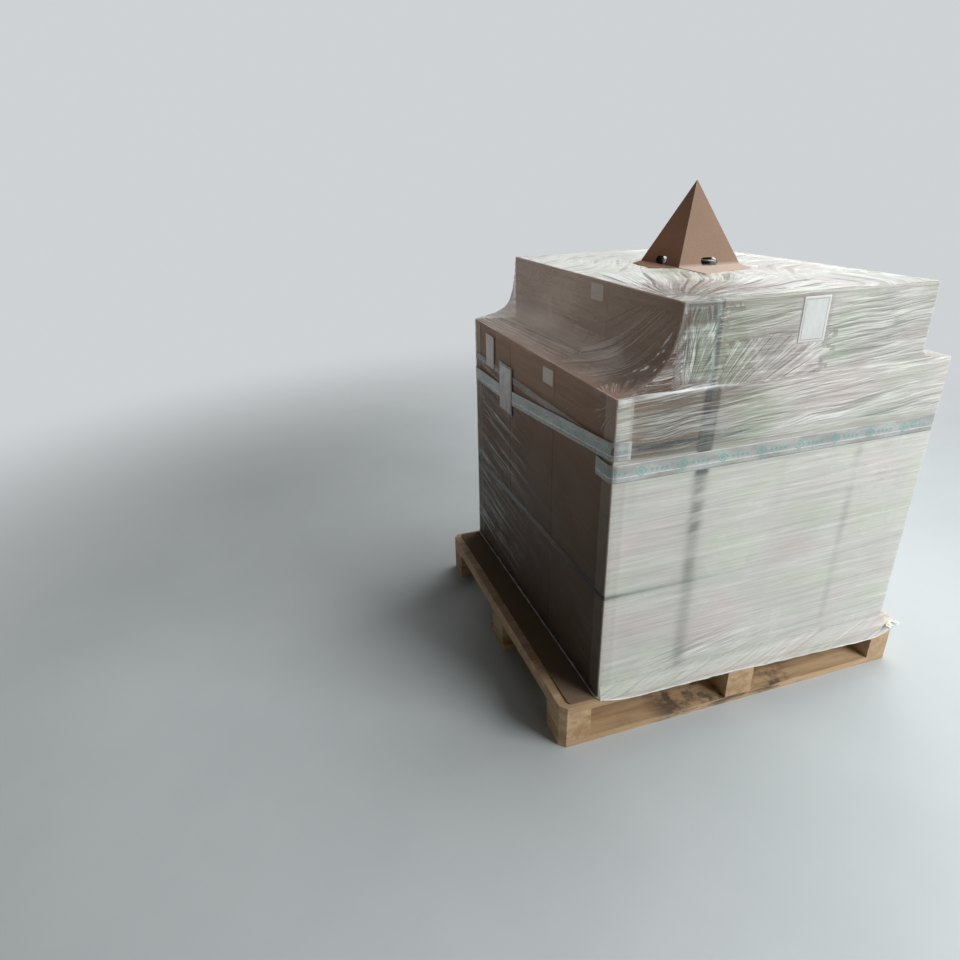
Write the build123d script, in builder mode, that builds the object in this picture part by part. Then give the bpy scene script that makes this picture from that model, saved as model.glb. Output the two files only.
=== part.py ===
from build123d import *
import os

# A shrink wrapped pallet load, in millimetres.
# The origin is the middle of the pallet's underside. +X runs to the right along the long front side,
# +Y goes from the front to the back, and +Z is up.

# Pallet. The deck stands out past the cartons by its rim at the front and back.
pallet_length = 1200.0
pallet_rim = 14.0
bottom_board_thick = 22.0
bottom_board_wide = 100.0
bottom_board_middle_wide = 145.0
block_long = 92.0
block_wide = 100.0
block_high = 78.0
stringer_thick = 22.0
deck_board_thick = 22.0
deck_board_count = 10
deck_outer_wide = 121.0
deck_gap = 1.0
corner_cut = 18.0

# Cardboard sheet between the pallet and the cartons. Its ends stand back from the deck's ends,
# and it stands out past the cartons by its rim at the front and back.
sheet_inset = 27.0
sheet_rim = 2.0
sheet_thick = 4.0
sheet_corner = 12.0

# Cartons. The lower tiers are full, and the top tier is one column narrower.
carton_long = 345.0
carton_wide = 252.0
carton_high = 219.0
top_carton_high = 209.0
carton_edge = 3.0
rows = 3
columns = 4
top_columns = 3
lower_tiers = 4
row_gap = 1.5
column_gap = 1.5
top_column_gap = 1.0
load_shift = 21.5
top_shift = 46.0

# Cardboard corner boards up the four edges of the lower block
board_leg = 48.0
board_thick = 3.0
board_radius = 4.0
board_high = 879.0

# Plastic straps under the wrap
strap_wide = 15.0
strap_thick = 1.0
upright_strap_reach = 255.5
level_strap_heights = (482.0, 897.0)
strap_bend_height = 200.0

# Stretch film. It stands a little clear of what it wraps.
wrap_clear = 0.3
wrap_thick = 1.0
wrap_radius = 6.0
# How the film leaves the top tier over its ledges: height above the ledge, and the share of the ledge
# that it still covers there, at the left and at the right
ledge_curve = (
    (4.0, 0.82, 0.50),
    (12.0, 0.60, 0.15),
    (27.0, 0.36, 0.03),
    (50.0, 0.22, 0.0),
    (80.0, 0.13, 0.0),
    (130.0, 0.05, 0.0),
)

# Skirt of film that hangs over the front and back edges of the deck
skirt_start = -350.0
skirt_end = 592.0
skirt_rise = 14.0
skirt_fold = 3.5
skirt_slope = 4.5
# Lower edge of the skirt, as (x, how far it hangs below the deck's top)
skirt_hem = ((-350.0, 20.0), (-40.0, 20.0), (50.0, 27.0), (480.0, 42.0), (550.0, 36.0), (592.0, 9.0))

# Printed tape round the outside of the wrap
tape_wide = 48.0
tape_thick = 0.5
tape_tail_side = 89.0
tape_tail_front = 60.0
# Height of the tape's middle at each corner in turn, from its start at the front left corner
tape_front_left = 838.0
tape_front_right = 843.0
tape_back_right = 836.0
tape_back_left = 829.0
tape_climb_start = 834.0
tape_climb_reach = 690.0
tape_end = 897.0

# Paper labels stuck outside the wrap
label_wide = 80.0
label_high = 112.0
label_thick = 0.4
front_label_x = 40.5
front_label_z = 1168.5
side_label_y = 357.0
side_label_z = 945.0
pouch_wide = 120.0
pouch_high = 166.0
pouch_y = 198.0
pouch_z = 854.0

# Folded cardboard cone on top of the load
cone_base = 219.0
cone_high = 243.0
cone_tip = 2.0
cone_wall = 3.0
cone_x = 90.5
cone_y = 85.0
slot_long = 58.0
slot_high = 23.0
slot_above_base = 14.5
# The two outer corners of each flap at the cone's foot: how far the corner stands in from the end of
# the cone's edge (below zero it stands past the end), and how far it reaches out from that edge
front_flap = ((-10.0, 150.0), (40.0, 100.0))
side_flap = ((46.5, 55.0), (41.5, 76.0))

# Heights worked out from the sizes above
block_base = bottom_board_thick
stringer_base = block_base + block_high
deck_base = stringer_base + stringer_thick
deck_top = deck_base + deck_board_thick
sheet_top = deck_top + sheet_thick
ledge_top = sheet_top + lower_tiers * carton_high
load_top = ledge_top + top_carton_high

# Half widths of the carton blocks
load_half_x = (columns * carton_wide + (columns - 1) * column_gap) / 2
load_half_y = (rows * carton_long + (rows - 1) * row_gap) / 2
top_half_x = (top_columns * carton_wide + (top_columns - 1) * top_column_gap) / 2

# Sizes of the pallet and the sheet that follow from them
pallet_width = 2 * (load_half_y + pallet_rim)
sheet_wide = 2 * (load_half_y + sheet_rim)
sheet_long = pallet_length - 2 * sheet_inset

# The wrap's inner face round the lower block, over the corner boards and the level straps,
# and round the top tier, over the upright straps
wrap_off_block = board_thick + strap_thick + wrap_clear
wrap_half_x = load_half_x + wrap_off_block
wrap_half_y = load_half_y + wrap_off_block
wrap_top_half_x = top_half_x + wrap_clear
wrap_top_half_y = load_half_y + strap_thick + wrap_clear
wrap_ledge = sheet_top + board_high + wrap_clear
wrap_roof = load_top + strap_thick + wrap_clear

os.makedirs("parts", exist_ok=True)


# Pallet boards and blocks
inner_wide = (pallet_width - 2 * deck_outer_wide - (deck_board_count - 1) * deck_gap) / (deck_board_count - 2)


def pallet_corner_edges(piece):
    """The piece's upright edges that stand at the pallet's own corners."""
    reach = Vector(pallet_length / 2, pallet_width / 2)
    upright = piece.edges().filter_by(Axis.Z)
    return [edge for edge in upright if abs(Vector(abs(edge.center().X), abs(edge.center().Y)) - reach) < 0.01]


board_front = -pallet_width / 2
for number in range(deck_board_count):
    outer = number in (0, deck_board_count - 1)
    board_wide = deck_outer_wide if outer else inner_wide
    with BuildPart() as deck_board:
        with BuildSketch(Plane.XY.offset(deck_base)):
            with Locations((0, board_front + board_wide / 2)):
                Rectangle(pallet_length, board_wide)
        extrude(amount=deck_board_thick)
        if outer:
            chamfer(pallet_corner_edges(deck_board), corner_cut)
    board_front += board_wide + deck_gap
    deck_board.part.label = f"deck_board_{number + 1}"
    export_step(deck_board.part, f"parts/{deck_board.part.label}.step")

block_reach_x = (pallet_length - block_long) / 2
block_reach_y = (pallet_width - block_wide) / 2
for number, x in enumerate((-block_reach_x, 0, block_reach_x)):
    with BuildPart() as stringer:
        with BuildSketch(Plane.XY.offset(stringer_base)):
            with Locations((x, 0)):
                Rectangle(block_long, pallet_width)
        extrude(amount=stringer_thick)
        if x != 0:
            chamfer(pallet_corner_edges(stringer), corner_cut)
    stringer.part.label = f"stringer_board_{number + 1}"
    export_step(stringer.part, f"parts/{stringer.part.label}.step")

block_number = 0
for y in (-block_reach_y, 0, block_reach_y):
    for x in (-block_reach_x, 0, block_reach_x):
        block_number += 1
        with BuildPart() as block:
            with BuildSketch(Plane.XY.offset(block_base)):
                with Locations((x, y)):
                    Rectangle(block_long, block_wide)
            extrude(amount=block_high)
            if x != 0 and y != 0:
                chamfer(pallet_corner_edges(block), corner_cut)
        block.part.label = f"pallet_block_{block_number}"
        export_step(block.part, f"parts/{block.part.label}.step")

bottom_reach_y = (pallet_width - bottom_board_wide) / 2
for number, y in enumerate((-bottom_reach_y, 0, bottom_reach_y)):
    with BuildPart() as bottom_board:
        with BuildSketch(Plane.XY):
            with Locations((0, y)):
                Rectangle(pallet_length, bottom_board_wide if y else bottom_board_middle_wide)
        extrude(amount=bottom_board_thick)
        if y != 0:
            chamfer(pallet_corner_edges(bottom_board), corner_cut)
    bottom_board.part.label = f"bottom_board_{number + 1}"
    export_step(bottom_board.part, f"parts/{bottom_board.part.label}.step")


# Cardboard sheet on the deck
with BuildPart() as base_sheet:
    with BuildSketch(Plane.XY.offset(deck_top)):
        RectangleRounded(sheet_long, sheet_wide, sheet_corner)
    extrude(amount=sheet_thick)
base_sheet.part.label = "base_sheet"
export_step(base_sheet.part, "parts/base_sheet.step")


# Carton tiers: each carton is a solid of its own, with a small gap to its neighbours
for tier in range(lower_tiers + 1):
    top = tier == lower_tiers
    gap = top_column_gap if top else column_gap
    with BuildPart() as carton_tier:
        with BuildSketch(Plane.XY.offset(sheet_top + tier * carton_high)):
            with Locations((top_shift if top else load_shift, 0)):
                with GridLocations(carton_wide + gap, carton_long + row_gap, top_columns if top else columns, rows):
                    RectangleRounded(carton_wide, carton_long, carton_edge)
        extrude(amount=top_carton_high if top else carton_high)
    carton_tier.part.label = f"carton_tier_{tier + 1}"
    export_step(carton_tier.part, f"parts/{carton_tier.part.label}.step")


# Corner boards: an angle with a rounded back
for side, x_way in (("left", -1), ("right", 1)):
    for end, y_way in (("front", -1), ("back", 1)):
        with BuildPart() as corner_board:
            corner_x = load_shift + x_way * load_half_x
            corner_y = y_way * load_half_y
            with BuildSketch(Plane.XY.offset(sheet_top)) as angle:
                with BuildLine():
                    Polyline(
                        (corner_x, corner_y),
                        (corner_x - x_way * (board_leg - board_thick), corner_y),
                        (corner_x - x_way * (board_leg - board_thick), corner_y + y_way * board_thick),
                        (corner_x + x_way * board_thick, corner_y + y_way * board_thick),
                        (corner_x + x_way * board_thick, corner_y - y_way * (board_leg - board_thick)),
                        (corner_x, corner_y - y_way * (board_leg - board_thick)),
                        close=True,
                    )
                make_face()
                back = angle.vertices().sort_by_distance(
                    (corner_x + x_way * board_thick, corner_y + y_way * board_thick, sheet_top)
                )[0]
                fillet(back, board_radius)
            extrude(amount=board_high)
        corner_board.part.label = f"corner_board_{end}_{side}"
        export_step(corner_board.part, f"parts/{corner_board.part.label}.step")


# Upright straps: loops over the load and under the deck boards
strap_path = (
    (-load_half_y, load_top),
    (-load_half_y, strap_bend_height),
    (-sheet_wide / 2, sheet_top),
    (-pallet_width / 2, deck_top),
    (-pallet_width / 2, deck_base),
    (pallet_width / 2, deck_base),
    (pallet_width / 2, deck_top),
    (sheet_wide / 2, sheet_top),
    (load_half_y, strap_bend_height),
    (load_half_y, load_top),
)
for side, x_way in (("left", -1), ("right", 1)):
    strap_x = load_shift + x_way * upright_strap_reach
    with BuildPart() as upright_strap:
        with BuildSketch(Plane.YZ.offset(strap_x - strap_wide / 2)):
            with BuildLine():
                Polyline(*strap_path, close=True)
            make_face()
            offset(amount=strap_thick, kind=Kind.ARC)
            with BuildLine():
                Polyline(*strap_path, close=True)
            make_face(mode=Mode.SUBTRACT)
        extrude(amount=strap_wide)
    upright_strap.part.label = f"upright_strap_{side}"
    export_step(upright_strap.part, f"parts/{upright_strap.part.label}.step")


# Level straps: rings round the lower block, over the corner boards
for name, height in zip(("lower", "upper"), level_strap_heights):
    with BuildPart() as level_strap:
        with BuildSketch(Plane.XY.offset(height - strap_wide / 2)):
            with Locations((load_shift, 0)):
                ring_x = 2 * (load_half_x + board_thick)
                ring_y = 2 * (load_half_y + board_thick)
                RectangleRounded(ring_x + 2 * strap_thick, ring_y + 2 * strap_thick, board_radius + strap_thick)
                RectangleRounded(ring_x, ring_y, board_radius, mode=Mode.SUBTRACT)
        extrude(amount=strap_wide)
    level_strap.part.label = f"level_strap_{name}"
    export_step(level_strap.part, f"parts/{level_strap.part.label}.step")


# Stretch film: level sections from the hem to the roof, drawn in over each ledge by a hollow curve
def wrap_sections(grow):
    """Each section as (height, left x, right x, half depth), with the face moved out by grow."""
    low_left = load_shift - wrap_half_x - grow
    low_right = load_shift + wrap_half_x + grow
    top_left = top_shift - wrap_top_half_x - grow
    top_right = top_shift + wrap_top_half_x + grow
    yield sheet_top + wrap_clear, low_left, low_right, wrap_half_y + grow
    yield wrap_ledge + grow, low_left, low_right, wrap_half_y + grow
    for rise, left_share, right_share in ledge_curve:
        left = top_left + left_share * (low_left - top_left)
        right = top_right + right_share * (low_right - top_right)
        yield wrap_ledge + grow + rise, left, right, wrap_top_half_y + grow
    yield wrap_roof + grow, top_left, top_right, wrap_top_half_y + grow


with BuildPart() as stretch_wrap:
    for height, left, right, half_depth in wrap_sections(wrap_thick):
        with BuildSketch(Plane.XY.offset(height)):
            with Locations(((left + right) / 2, 0)):
                RectangleRounded(right - left, 2 * half_depth, wrap_radius)
    loft(ruled=True)
    for height, left, right, half_depth in wrap_sections(0):
        with BuildSketch(Plane.XY.offset(height)):
            with Locations(((left + right) / 2, 0)):
                RectangleRounded(right - left, 2 * half_depth, wrap_radius - wrap_thick)
    loft(ruled=True, mode=Mode.SUBTRACT)

    skirt_y = pallet_width / 2 + strap_thick + wrap_clear
    fold_z = sheet_top + skirt_fold
    low_z = fold_z - skirt_slope
    hem_points = [(x, deck_top - drop) for x, drop in skirt_hem]
    hem_floor = min(z for x, z in hem_points)
    for y_way in (-1, 1):
        with BuildSketch(Plane.YZ.offset(skirt_start)):
            with BuildLine():
                Polyline(
                    (y_way * wrap_half_y, fold_z + skirt_rise),
                    (y_way * wrap_half_y, fold_z),
                    (y_way * skirt_y, low_z),
                    (y_way * skirt_y, hem_floor),
                    (y_way * (skirt_y + wrap_thick), hem_floor),
                    (y_way * (skirt_y + wrap_thick), low_z + wrap_thick),
                    (y_way * (wrap_half_y + wrap_thick), fold_z + wrap_thick),
                    (y_way * (wrap_half_y + wrap_thick), fold_z + skirt_rise),
                    close=True,
                )
            make_face()
        extrude(amount=skirt_end - skirt_start)
    with BuildSketch(Plane.XZ.offset(-pallet_width)):
        with BuildLine():
            Polyline(
                *hem_points,
                (skirt_end, hem_floor - wrap_thick),
                (skirt_start, hem_floor - wrap_thick),
                close=True,
            )
        make_face()
    extrude(amount=2 * pallet_width, mode=Mode.SUBTRACT)
stretch_wrap.part.label = "stretch_wrap"
export_step(stretch_wrap.part, "parts/stretch_wrap.step")


# Printed tape: one run round the outside of the wrap, climbing along the left side to a second end
tape_half_x = wrap_half_x + wrap_thick
tape_half_y = wrap_half_y + wrap_thick
tape_left = load_shift - tape_half_x
tape_right = load_shift + tape_half_x
tape_reach = 2 * wrap_radius


front_plane = Plane(origin=(0, -tape_half_y, 0), x_dir=(1, 0, 0), z_dir=(0, -1, 0))
back_plane = Plane(origin=(0, tape_half_y, 0), x_dir=(1, 0, 0), z_dir=(0, -1, 0))
left_plane = Plane(origin=(tape_left, 0, 0), x_dir=(0, 1, 0), z_dir=(1, 0, 0))
right_plane = Plane(origin=(tape_right, 0, 0), x_dir=(0, 1, 0), z_dir=(1, 0, 0))
out_left = tape_left - tape_thick
out_right = tape_right + tape_thick
out_y = tape_half_y + tape_thick
climb_y = tape_climb_reach - tape_half_y
# The tape's middle line on each side in turn, from its start round to its end
tape_runs = (
    (left_plane, ((tape_tail_side - tape_half_y, tape_front_left), (-out_y, tape_front_left))),
    (front_plane, ((out_left, tape_front_left), (out_right, tape_front_right))),
    (right_plane, ((-out_y, tape_front_right), (out_y, tape_back_right))),
    (back_plane, ((out_left, tape_back_left), (out_right, tape_back_right))),
    (left_plane, ((-out_y, tape_end), (climb_y, tape_climb_start), (out_y, tape_back_left))),
    (front_plane, ((out_left, tape_end), (tape_left + tape_tail_front, tape_end))),
)

with BuildPart() as tape_band:
    for plane, middle in tape_runs:
        upper = [(u, z + tape_wide / 2) for u, z in middle]
        lower = [(u, z - tape_wide / 2) for u, z in reversed(middle)]
        with BuildSketch(plane):
            with BuildLine():
                Polyline(*upper, *lower, close=True)
            make_face()
        extrude(amount=tape_reach, both=True)
    with BuildSketch(Plane.XY.offset(tape_back_left - tape_wide)):
        with Locations((load_shift, 0)):
            RectangleRounded(2 * (tape_half_x + tape_thick), 2 * out_y, wrap_radius + tape_thick)
            RectangleRounded(2 * tape_half_x, 2 * tape_half_y, wrap_radius, mode=Mode.SUBTRACT)
    extrude(amount=tape_end - tape_back_left + 2 * tape_wide, mode=Mode.INTERSECT)
tape_band.part.label = "tape_band"
export_step(tape_band.part, "parts/tape_band.step")


# Paper labels and the document pouch, flat on the outside of the wrap
label_y = -(wrap_top_half_y + wrap_thick + label_thick / 2)
with BuildPart() as front_label:
    with Locations((front_label_x, label_y, front_label_z)):
        Box(label_wide, label_thick, label_high)
front_label.part.label = "front_label"
export_step(front_label.part, "parts/front_label.step")

with BuildPart() as side_label:
    with Locations((tape_left - label_thick / 2, side_label_y, side_label_z)):
        Box(label_thick, label_wide, label_high)
side_label.part.label = "side_label"
export_step(side_label.part, "parts/side_label.step")

with BuildPart() as document_pouch:
    with Locations((tape_left - tape_thick - label_thick / 2, pouch_y, pouch_z)):
        Box(label_thick, pouch_wide, pouch_high)
document_pouch.part.label = "document_pouch"
export_step(document_pouch.part, "parts/document_pouch.step")


# Cardboard cone: a hollow four sided pyramid with hand slots, and flaps folded out at the front and left
cone_foot = wrap_roof + wrap_thick
wall_run = cone_base / 2 / cone_high
slant = (1 + wall_run**2) ** 0.5
inner_base = cone_base - 2 * cone_wall * slant
inner_high = cone_high * inner_base / cone_base
tip_z = cone_high * (1 - cone_tip / cone_base)
inner_tip = 1.0
half_base = cone_base / 2
half_inner = inner_base / 2
(left_in, left_out), (right_in, right_out) = front_flap
(back_in, back_out), (near_in, near_out) = side_flap
flaps = (
    (
        (-half_base, -half_inner),
        (left_in - half_base, -half_base - left_out),
        (half_base - right_in, -half_base - right_out),
        (half_base, -half_inner),
    ),
    (
        (-half_inner, half_base),
        (-half_base - back_out, half_base - back_in),
        (-half_base - near_out, near_in - half_base),
        (-half_inner, -half_base),
    ),
)
with BuildPart() as pallet_cone:
    with BuildSketch(Plane.XY.offset(cone_foot)):
        with Locations((cone_x, cone_y)):
            Rectangle(cone_base, cone_base)
    with BuildSketch(Plane.XY.offset(cone_foot + tip_z)):
        with Locations((cone_x, cone_y)):
            Rectangle(cone_tip, cone_tip)
    loft(ruled=True)
    with BuildSketch(Plane.XY.offset(cone_foot)):
        with Locations((cone_x, cone_y)):
            Rectangle(inner_base, inner_base)
    with BuildSketch(Plane.XY.offset(cone_foot + inner_high * (1 - inner_tip / inner_base))):
        with Locations((cone_x, cone_y)):
            Rectangle(inner_tip, inner_tip)
    loft(ruled=True, mode=Mode.SUBTRACT)
    with BuildSketch(Plane.XZ.offset(-cone_y)):
        with Locations((cone_x, cone_foot + slot_above_base)):
            SlotOverall(slot_long, slot_high)
    extrude(amount=cone_base, both=True, mode=Mode.SUBTRACT)
    with BuildSketch(Plane.YZ.offset(cone_x)):
        with Locations((cone_y, cone_foot + slot_above_base)):
            SlotOverall(slot_long, slot_high)
    extrude(amount=cone_base, both=True, mode=Mode.SUBTRACT)
    for corners in flaps:
        with BuildSketch(Plane.XY.offset(cone_foot)):
            with BuildLine():
                Polyline(*[(cone_x + x, cone_y + y) for x, y in corners], close=True)
            make_face()
        extrude(amount=cone_wall)
pallet_cone.part.label = "pallet_cone"
export_step(pallet_cone.part, "parts/pallet_cone.step")
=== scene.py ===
import math

import bpy
import numpy as np
from mathutils import Matrix, Vector


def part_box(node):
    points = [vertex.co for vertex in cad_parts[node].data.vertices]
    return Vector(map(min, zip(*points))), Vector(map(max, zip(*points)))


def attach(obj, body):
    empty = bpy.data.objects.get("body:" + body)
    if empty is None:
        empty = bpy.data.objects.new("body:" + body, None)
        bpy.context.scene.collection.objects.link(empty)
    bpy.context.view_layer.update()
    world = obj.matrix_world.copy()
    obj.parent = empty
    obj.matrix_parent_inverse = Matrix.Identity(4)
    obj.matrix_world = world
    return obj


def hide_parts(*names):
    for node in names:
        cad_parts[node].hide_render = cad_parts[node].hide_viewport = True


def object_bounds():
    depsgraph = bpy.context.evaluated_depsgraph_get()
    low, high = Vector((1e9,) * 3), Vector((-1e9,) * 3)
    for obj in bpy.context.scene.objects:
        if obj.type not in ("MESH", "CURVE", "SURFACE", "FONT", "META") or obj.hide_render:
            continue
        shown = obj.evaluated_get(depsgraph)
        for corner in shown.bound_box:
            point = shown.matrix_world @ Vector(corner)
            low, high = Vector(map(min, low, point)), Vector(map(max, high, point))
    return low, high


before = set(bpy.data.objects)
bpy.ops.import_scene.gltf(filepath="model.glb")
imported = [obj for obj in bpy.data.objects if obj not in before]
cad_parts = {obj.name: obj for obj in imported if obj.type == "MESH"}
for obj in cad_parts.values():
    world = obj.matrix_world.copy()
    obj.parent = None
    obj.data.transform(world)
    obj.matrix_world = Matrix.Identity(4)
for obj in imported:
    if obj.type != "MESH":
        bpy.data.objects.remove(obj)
cad_low, cad_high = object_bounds()
MM = 0.001

# Places that the frame gives, in metres
lower_low, lower_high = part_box("carton_tier_4")
top_low, top_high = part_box("carton_tier_5")
board_low, board_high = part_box("corner_board_front_left")
strap_low, strap_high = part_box("upright_strap_left")
level_low, level_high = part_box("level_strap_lower")
left_strap_x = (strap_low.x + strap_high.x) / 2
right_strap_x = sum(end.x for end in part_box("upright_strap_right")) / 2
level_middle = (level_low.z + level_high.z) / 2
deck_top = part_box("deck_board_1")[1].z
sheet_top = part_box("base_sheet")[1].z
cone_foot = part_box("pallet_cone")[0].z
cone_tip = max((corner.co for corner in bpy.data.objects["pallet_cone"].data.vertices), key=lambda co: co.z)

# The film's own faces, a little clear of what it wraps
clear = 1.3 * MM
ledge_z = board_high.z + clear
roof_z = strap_high.z + clear
wall_left, wall_right = level_low.x - clear, level_high.x + clear
wall_depth = level_high.y + clear
top_left, top_right = top_low.x - clear, top_high.x + clear
top_depth = top_high.y + clear + MM

# Heights of the tape's middle line at the places that it passes in turn, its way down the left side, and
# the sizes of the papers outside the film
TAPE_START, TAPE_NEAR_RIGHT, TAPE_FAR_RIGHT, TAPE_FAR_LEFT = 0.838, 0.843, 0.836, 0.829
TAPE_CLIMB, TAPE_END = 0.834, 0.897
climb_way = 0.69
label_size, pouch_size = (80 * MM, 112 * MM), (120 * MM, 166 * MM)


def add_camera():
    """The photograph's own viewpoint, framing and focal length."""
    yaw, pitch, roll = 1.25856324, -0.42651168, -0.02149175
    data = bpy.data.cameras.new("camera")
    data.sensor_width, data.lens = 36.0, 25.07
    camera = bpy.data.objects.new("camera", data)
    aim = Matrix.Rotation(yaw - math.pi / 2, 4, "Z") @ Matrix.Rotation(math.pi / 2 + pitch, 4, "X")
    place = Matrix.Translation((-1.2405, -1.822, 1.5))
    camera.matrix_world = place @ aim @ Matrix.Rotation(roll, 4, "Z")
    bpy.context.collection.objects.link(camera)
    bpy.context.scene.camera = camera


add_camera()


# Mesh helpers
def add_mesh(name, points, faces, smooth=True):
    mesh = bpy.data.meshes.new(name)
    mesh.from_pydata([tuple(p) for p in points], [], [tuple(f) for f in faces])
    mesh.validate()
    if smooth:
        mesh.shade_smooth()
    piece = bpy.data.objects.new(name, mesh)
    bpy.context.collection.objects.link(piece)
    return piece


def join_parts(points, faces):
    """One list of points and one of faces from those of several parts."""
    starts = np.cumsum([0] + [len(part) for part in points]).tolist()
    joined = [tuple(index + start for index in face) for start, part in zip(starts, faces) for face in part]
    return np.concatenate(points), joined


def grid_faces(rows, columns, closed=False):
    """Quads of a grid of rows by columns, counted row by row."""
    faces = []
    for r in range(rows - 1):
        for c in range(columns if closed else columns - 1):
            a, d = r * columns, (c + 1) % columns
            faces.append((a + c, a + d, a + columns + d, a + columns + c))
    return faces


def set_uv(mesh, name, values):
    """One uv pair for each point, copied to the corners."""
    layer = mesh.uv_layers.new(name=name)
    corner_points = np.empty(len(mesh.loops), dtype=np.int32)
    mesh.loops.foreach_get("vertex_index", corner_points)
    layer.data.foreach_set("uv", np.asarray(values, dtype=np.float32)[corner_points].ravel())


def set_value(mesh, name, values):
    """One number for each point, which a material can read."""
    layer = mesh.attributes.new(name, "FLOAT", "POINT")
    layer.data.foreach_set("value", np.asarray(values, dtype=np.float32))


# Patterns: smooth lattice noise, folds made from it, and soft steps, windows and lines
def noise(u, v, seed):
    """Smooth noise from -1 to 1."""
    table = np.random.default_rng(seed).uniform(-1, 1, (64, 64))
    u, v = np.asarray(u, dtype=float), np.asarray(v, dtype=float)
    iu, iv = np.floor(u).astype(int), np.floor(v).astype(int)
    fu, fv = u - iu, v - iv
    fu, fv = fu * fu * (3 - 2 * fu), fv * fv * (3 - 2 * fv)
    low = table[iu % 64, iv % 64] * (1 - fu) + table[(iu + 1) % 64, iv % 64] * fu
    high = table[iu % 64, (iv + 1) % 64] * (1 - fu) + table[(iu + 1) % 64, (iv + 1) % 64] * fu
    return low * (1 - fv) + high * fv


def folds(u, v, seed, octaves=3):
    """Sharp crested ridges, from 0 to 1, as creased film has."""
    total = sum(0.5**k * (1 - np.abs(noise(u * 2**k, v * 2**k, seed + k)))**3 for k in range(octaves))
    return total / sum(0.5**k for k in range(octaves))


def crest(ridge, least=0.48, most=0.8):
    """Only the sharp tops of folds, from 0 to 1."""
    return np.clip((ridge - least) / (most - least), 0, 1) ** 1.5


def rise(value, start, over):
    """0 up to the start, rising evenly to 1 over the given way."""
    return np.clip((value - start) / over, 0, 1)


def fall(value, end, over):
    """1 at first, falling evenly over the given way to 0 at the end."""
    return np.clip((end - value) / over, 0, 1)


def window(value, low, high, edge):
    """1 between low and high, fading to 0 over the edge at both ends."""
    up, down = rise(value, low, edge), fall(value, high, edge)
    return up * up * (3 - 2 * up) * down * down * (3 - 2 * down)


def line(value, place, wide):
    """1 at a place, falling off smoothly at both sides of it."""
    return np.exp(-((value - place) / wide) ** 2)


def polar(across, up):
    """Angle and reach of a point that lies so far across and up from a centre."""
    return np.arctan2(up, across), np.hypot(up, across)


class Nodes:
    """The node tree of a material or the world, with short calls for the nodes that this script uses."""

    def __init__(self, name, owners=bpy.data.materials):
        self.owner = owners.new(name)
        self.owner.use_nodes = True
        self.tree = self.owner.node_tree
        self.shader = self.tree.nodes.get("Principled BSDF")

    def add(self, kind, inputs=(), **settings):
        node = self.tree.nodes.new("ShaderNode" + kind)
        for key, value in settings.items():
            setattr(node, key, value)
        for key, value in dict(inputs).items():
            self.put(node.inputs[key], value)
        return node

    def put(self, socket, value):
        if hasattr(value, "is_output"):
            self.tree.links.new(value, socket)
        else:
            socket.default_value = value

    def math(self, operation, a, *others):
        """One operation on a value, or on two or more values in turn."""
        for b in others or (0.0,):
            a = self.add("Math", {0: a, 1: b}, operation=operation).outputs[0]
        return a

    def times(self, *values):
        return self.math("MULTIPLY", *values)

    def plus(self, *values):
        return self.math("ADD", *values)

    def minus(self, a, b):
        return self.math("SUBTRACT", a, b)

    def size(self, value):
        return self.math("ABSOLUTE", value)

    def between(self, value, low, high):
        return self.times(self.math("LESS_THAN", value, high), self.math("GREATER_THAN", value, low))

    def place(self, scale=1.0, uv="", turn=(0, 0, 0), shift=(0, 0, 0)):
        """The object's own coordinates, or those of a uv map, scaled, turned and shifted."""
        if uv:
            source = self.add("UVMap", uv_map=uv).outputs[0]
        else:
            source = self.add("TexCoord").outputs["Object"]
        scale = scale if np.iterable(scale) else (scale,) * 3
        inputs = {"Vector": source, "Scale": scale, "Rotation": turn, "Location": shift}
        return self.add("Mapping", inputs).outputs[0]

    def axis(self, name, **place):
        return self.add("SeparateXYZ", {0: self.place(**place)}).outputs[name]

    def noise(self, scale, detail=3.0, rough=0.5, distortion=0.0, **place):
        inputs = {"Vector": self.place(scale, **place), "Scale": 1.0, "Detail": detail,
                  "Roughness": rough, "Distortion": distortion}
        return self.add("TexNoise", inputs).outputs[0]

    def ramp(self, value, low, high, to_low=0.0, to_high=1.0):
        inputs = {"Value": value, 1: low, 2: high, 3: to_low, 4: to_high}
        return self.add("MapRange", inputs, interpolation_type="SMOOTHSTEP").outputs[0]

    def mix(self, share, a, b):
        return self.add("Mix", {0: share, 6: a, 7: b}, data_type="RGBA").outputs[2]

    def layers(self, base, *covers):
        """Lays each colour over the last one by its share."""
        for share, colour in covers:
            base = self.mix(share, base, colour)
        return base

    def value(self, name):
        return self.add("Attribute", attribute_name=name).outputs["Fac"]

    def background_rays(self):
        """1 for the rays that show the pale background: those of the camera, gloss and clear materials."""
        path = self.add("LightPath")
        kinds = (path.outputs[name] for name in ("Is Camera Ray", "Is Glossy Ray", "Is Transmission Ray"))
        return self.math("MAXIMUM", *kinds)

    def bump(self, height, strength, distance):
        node = self.add("Bump", {"Height": height, "Strength": strength, "Distance": distance})
        self.put(self.shader.inputs["Normal"], node.outputs[0])

    def finish(self, **inputs):
        for key, value in inputs.items():
            self.put(self.shader.inputs[key.replace("_", " ")], value)
        return self.owner


def rgb(red, green, blue, tone=1.0):
    return (red * tone, green * tone, blue * tone, 1.0)


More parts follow.
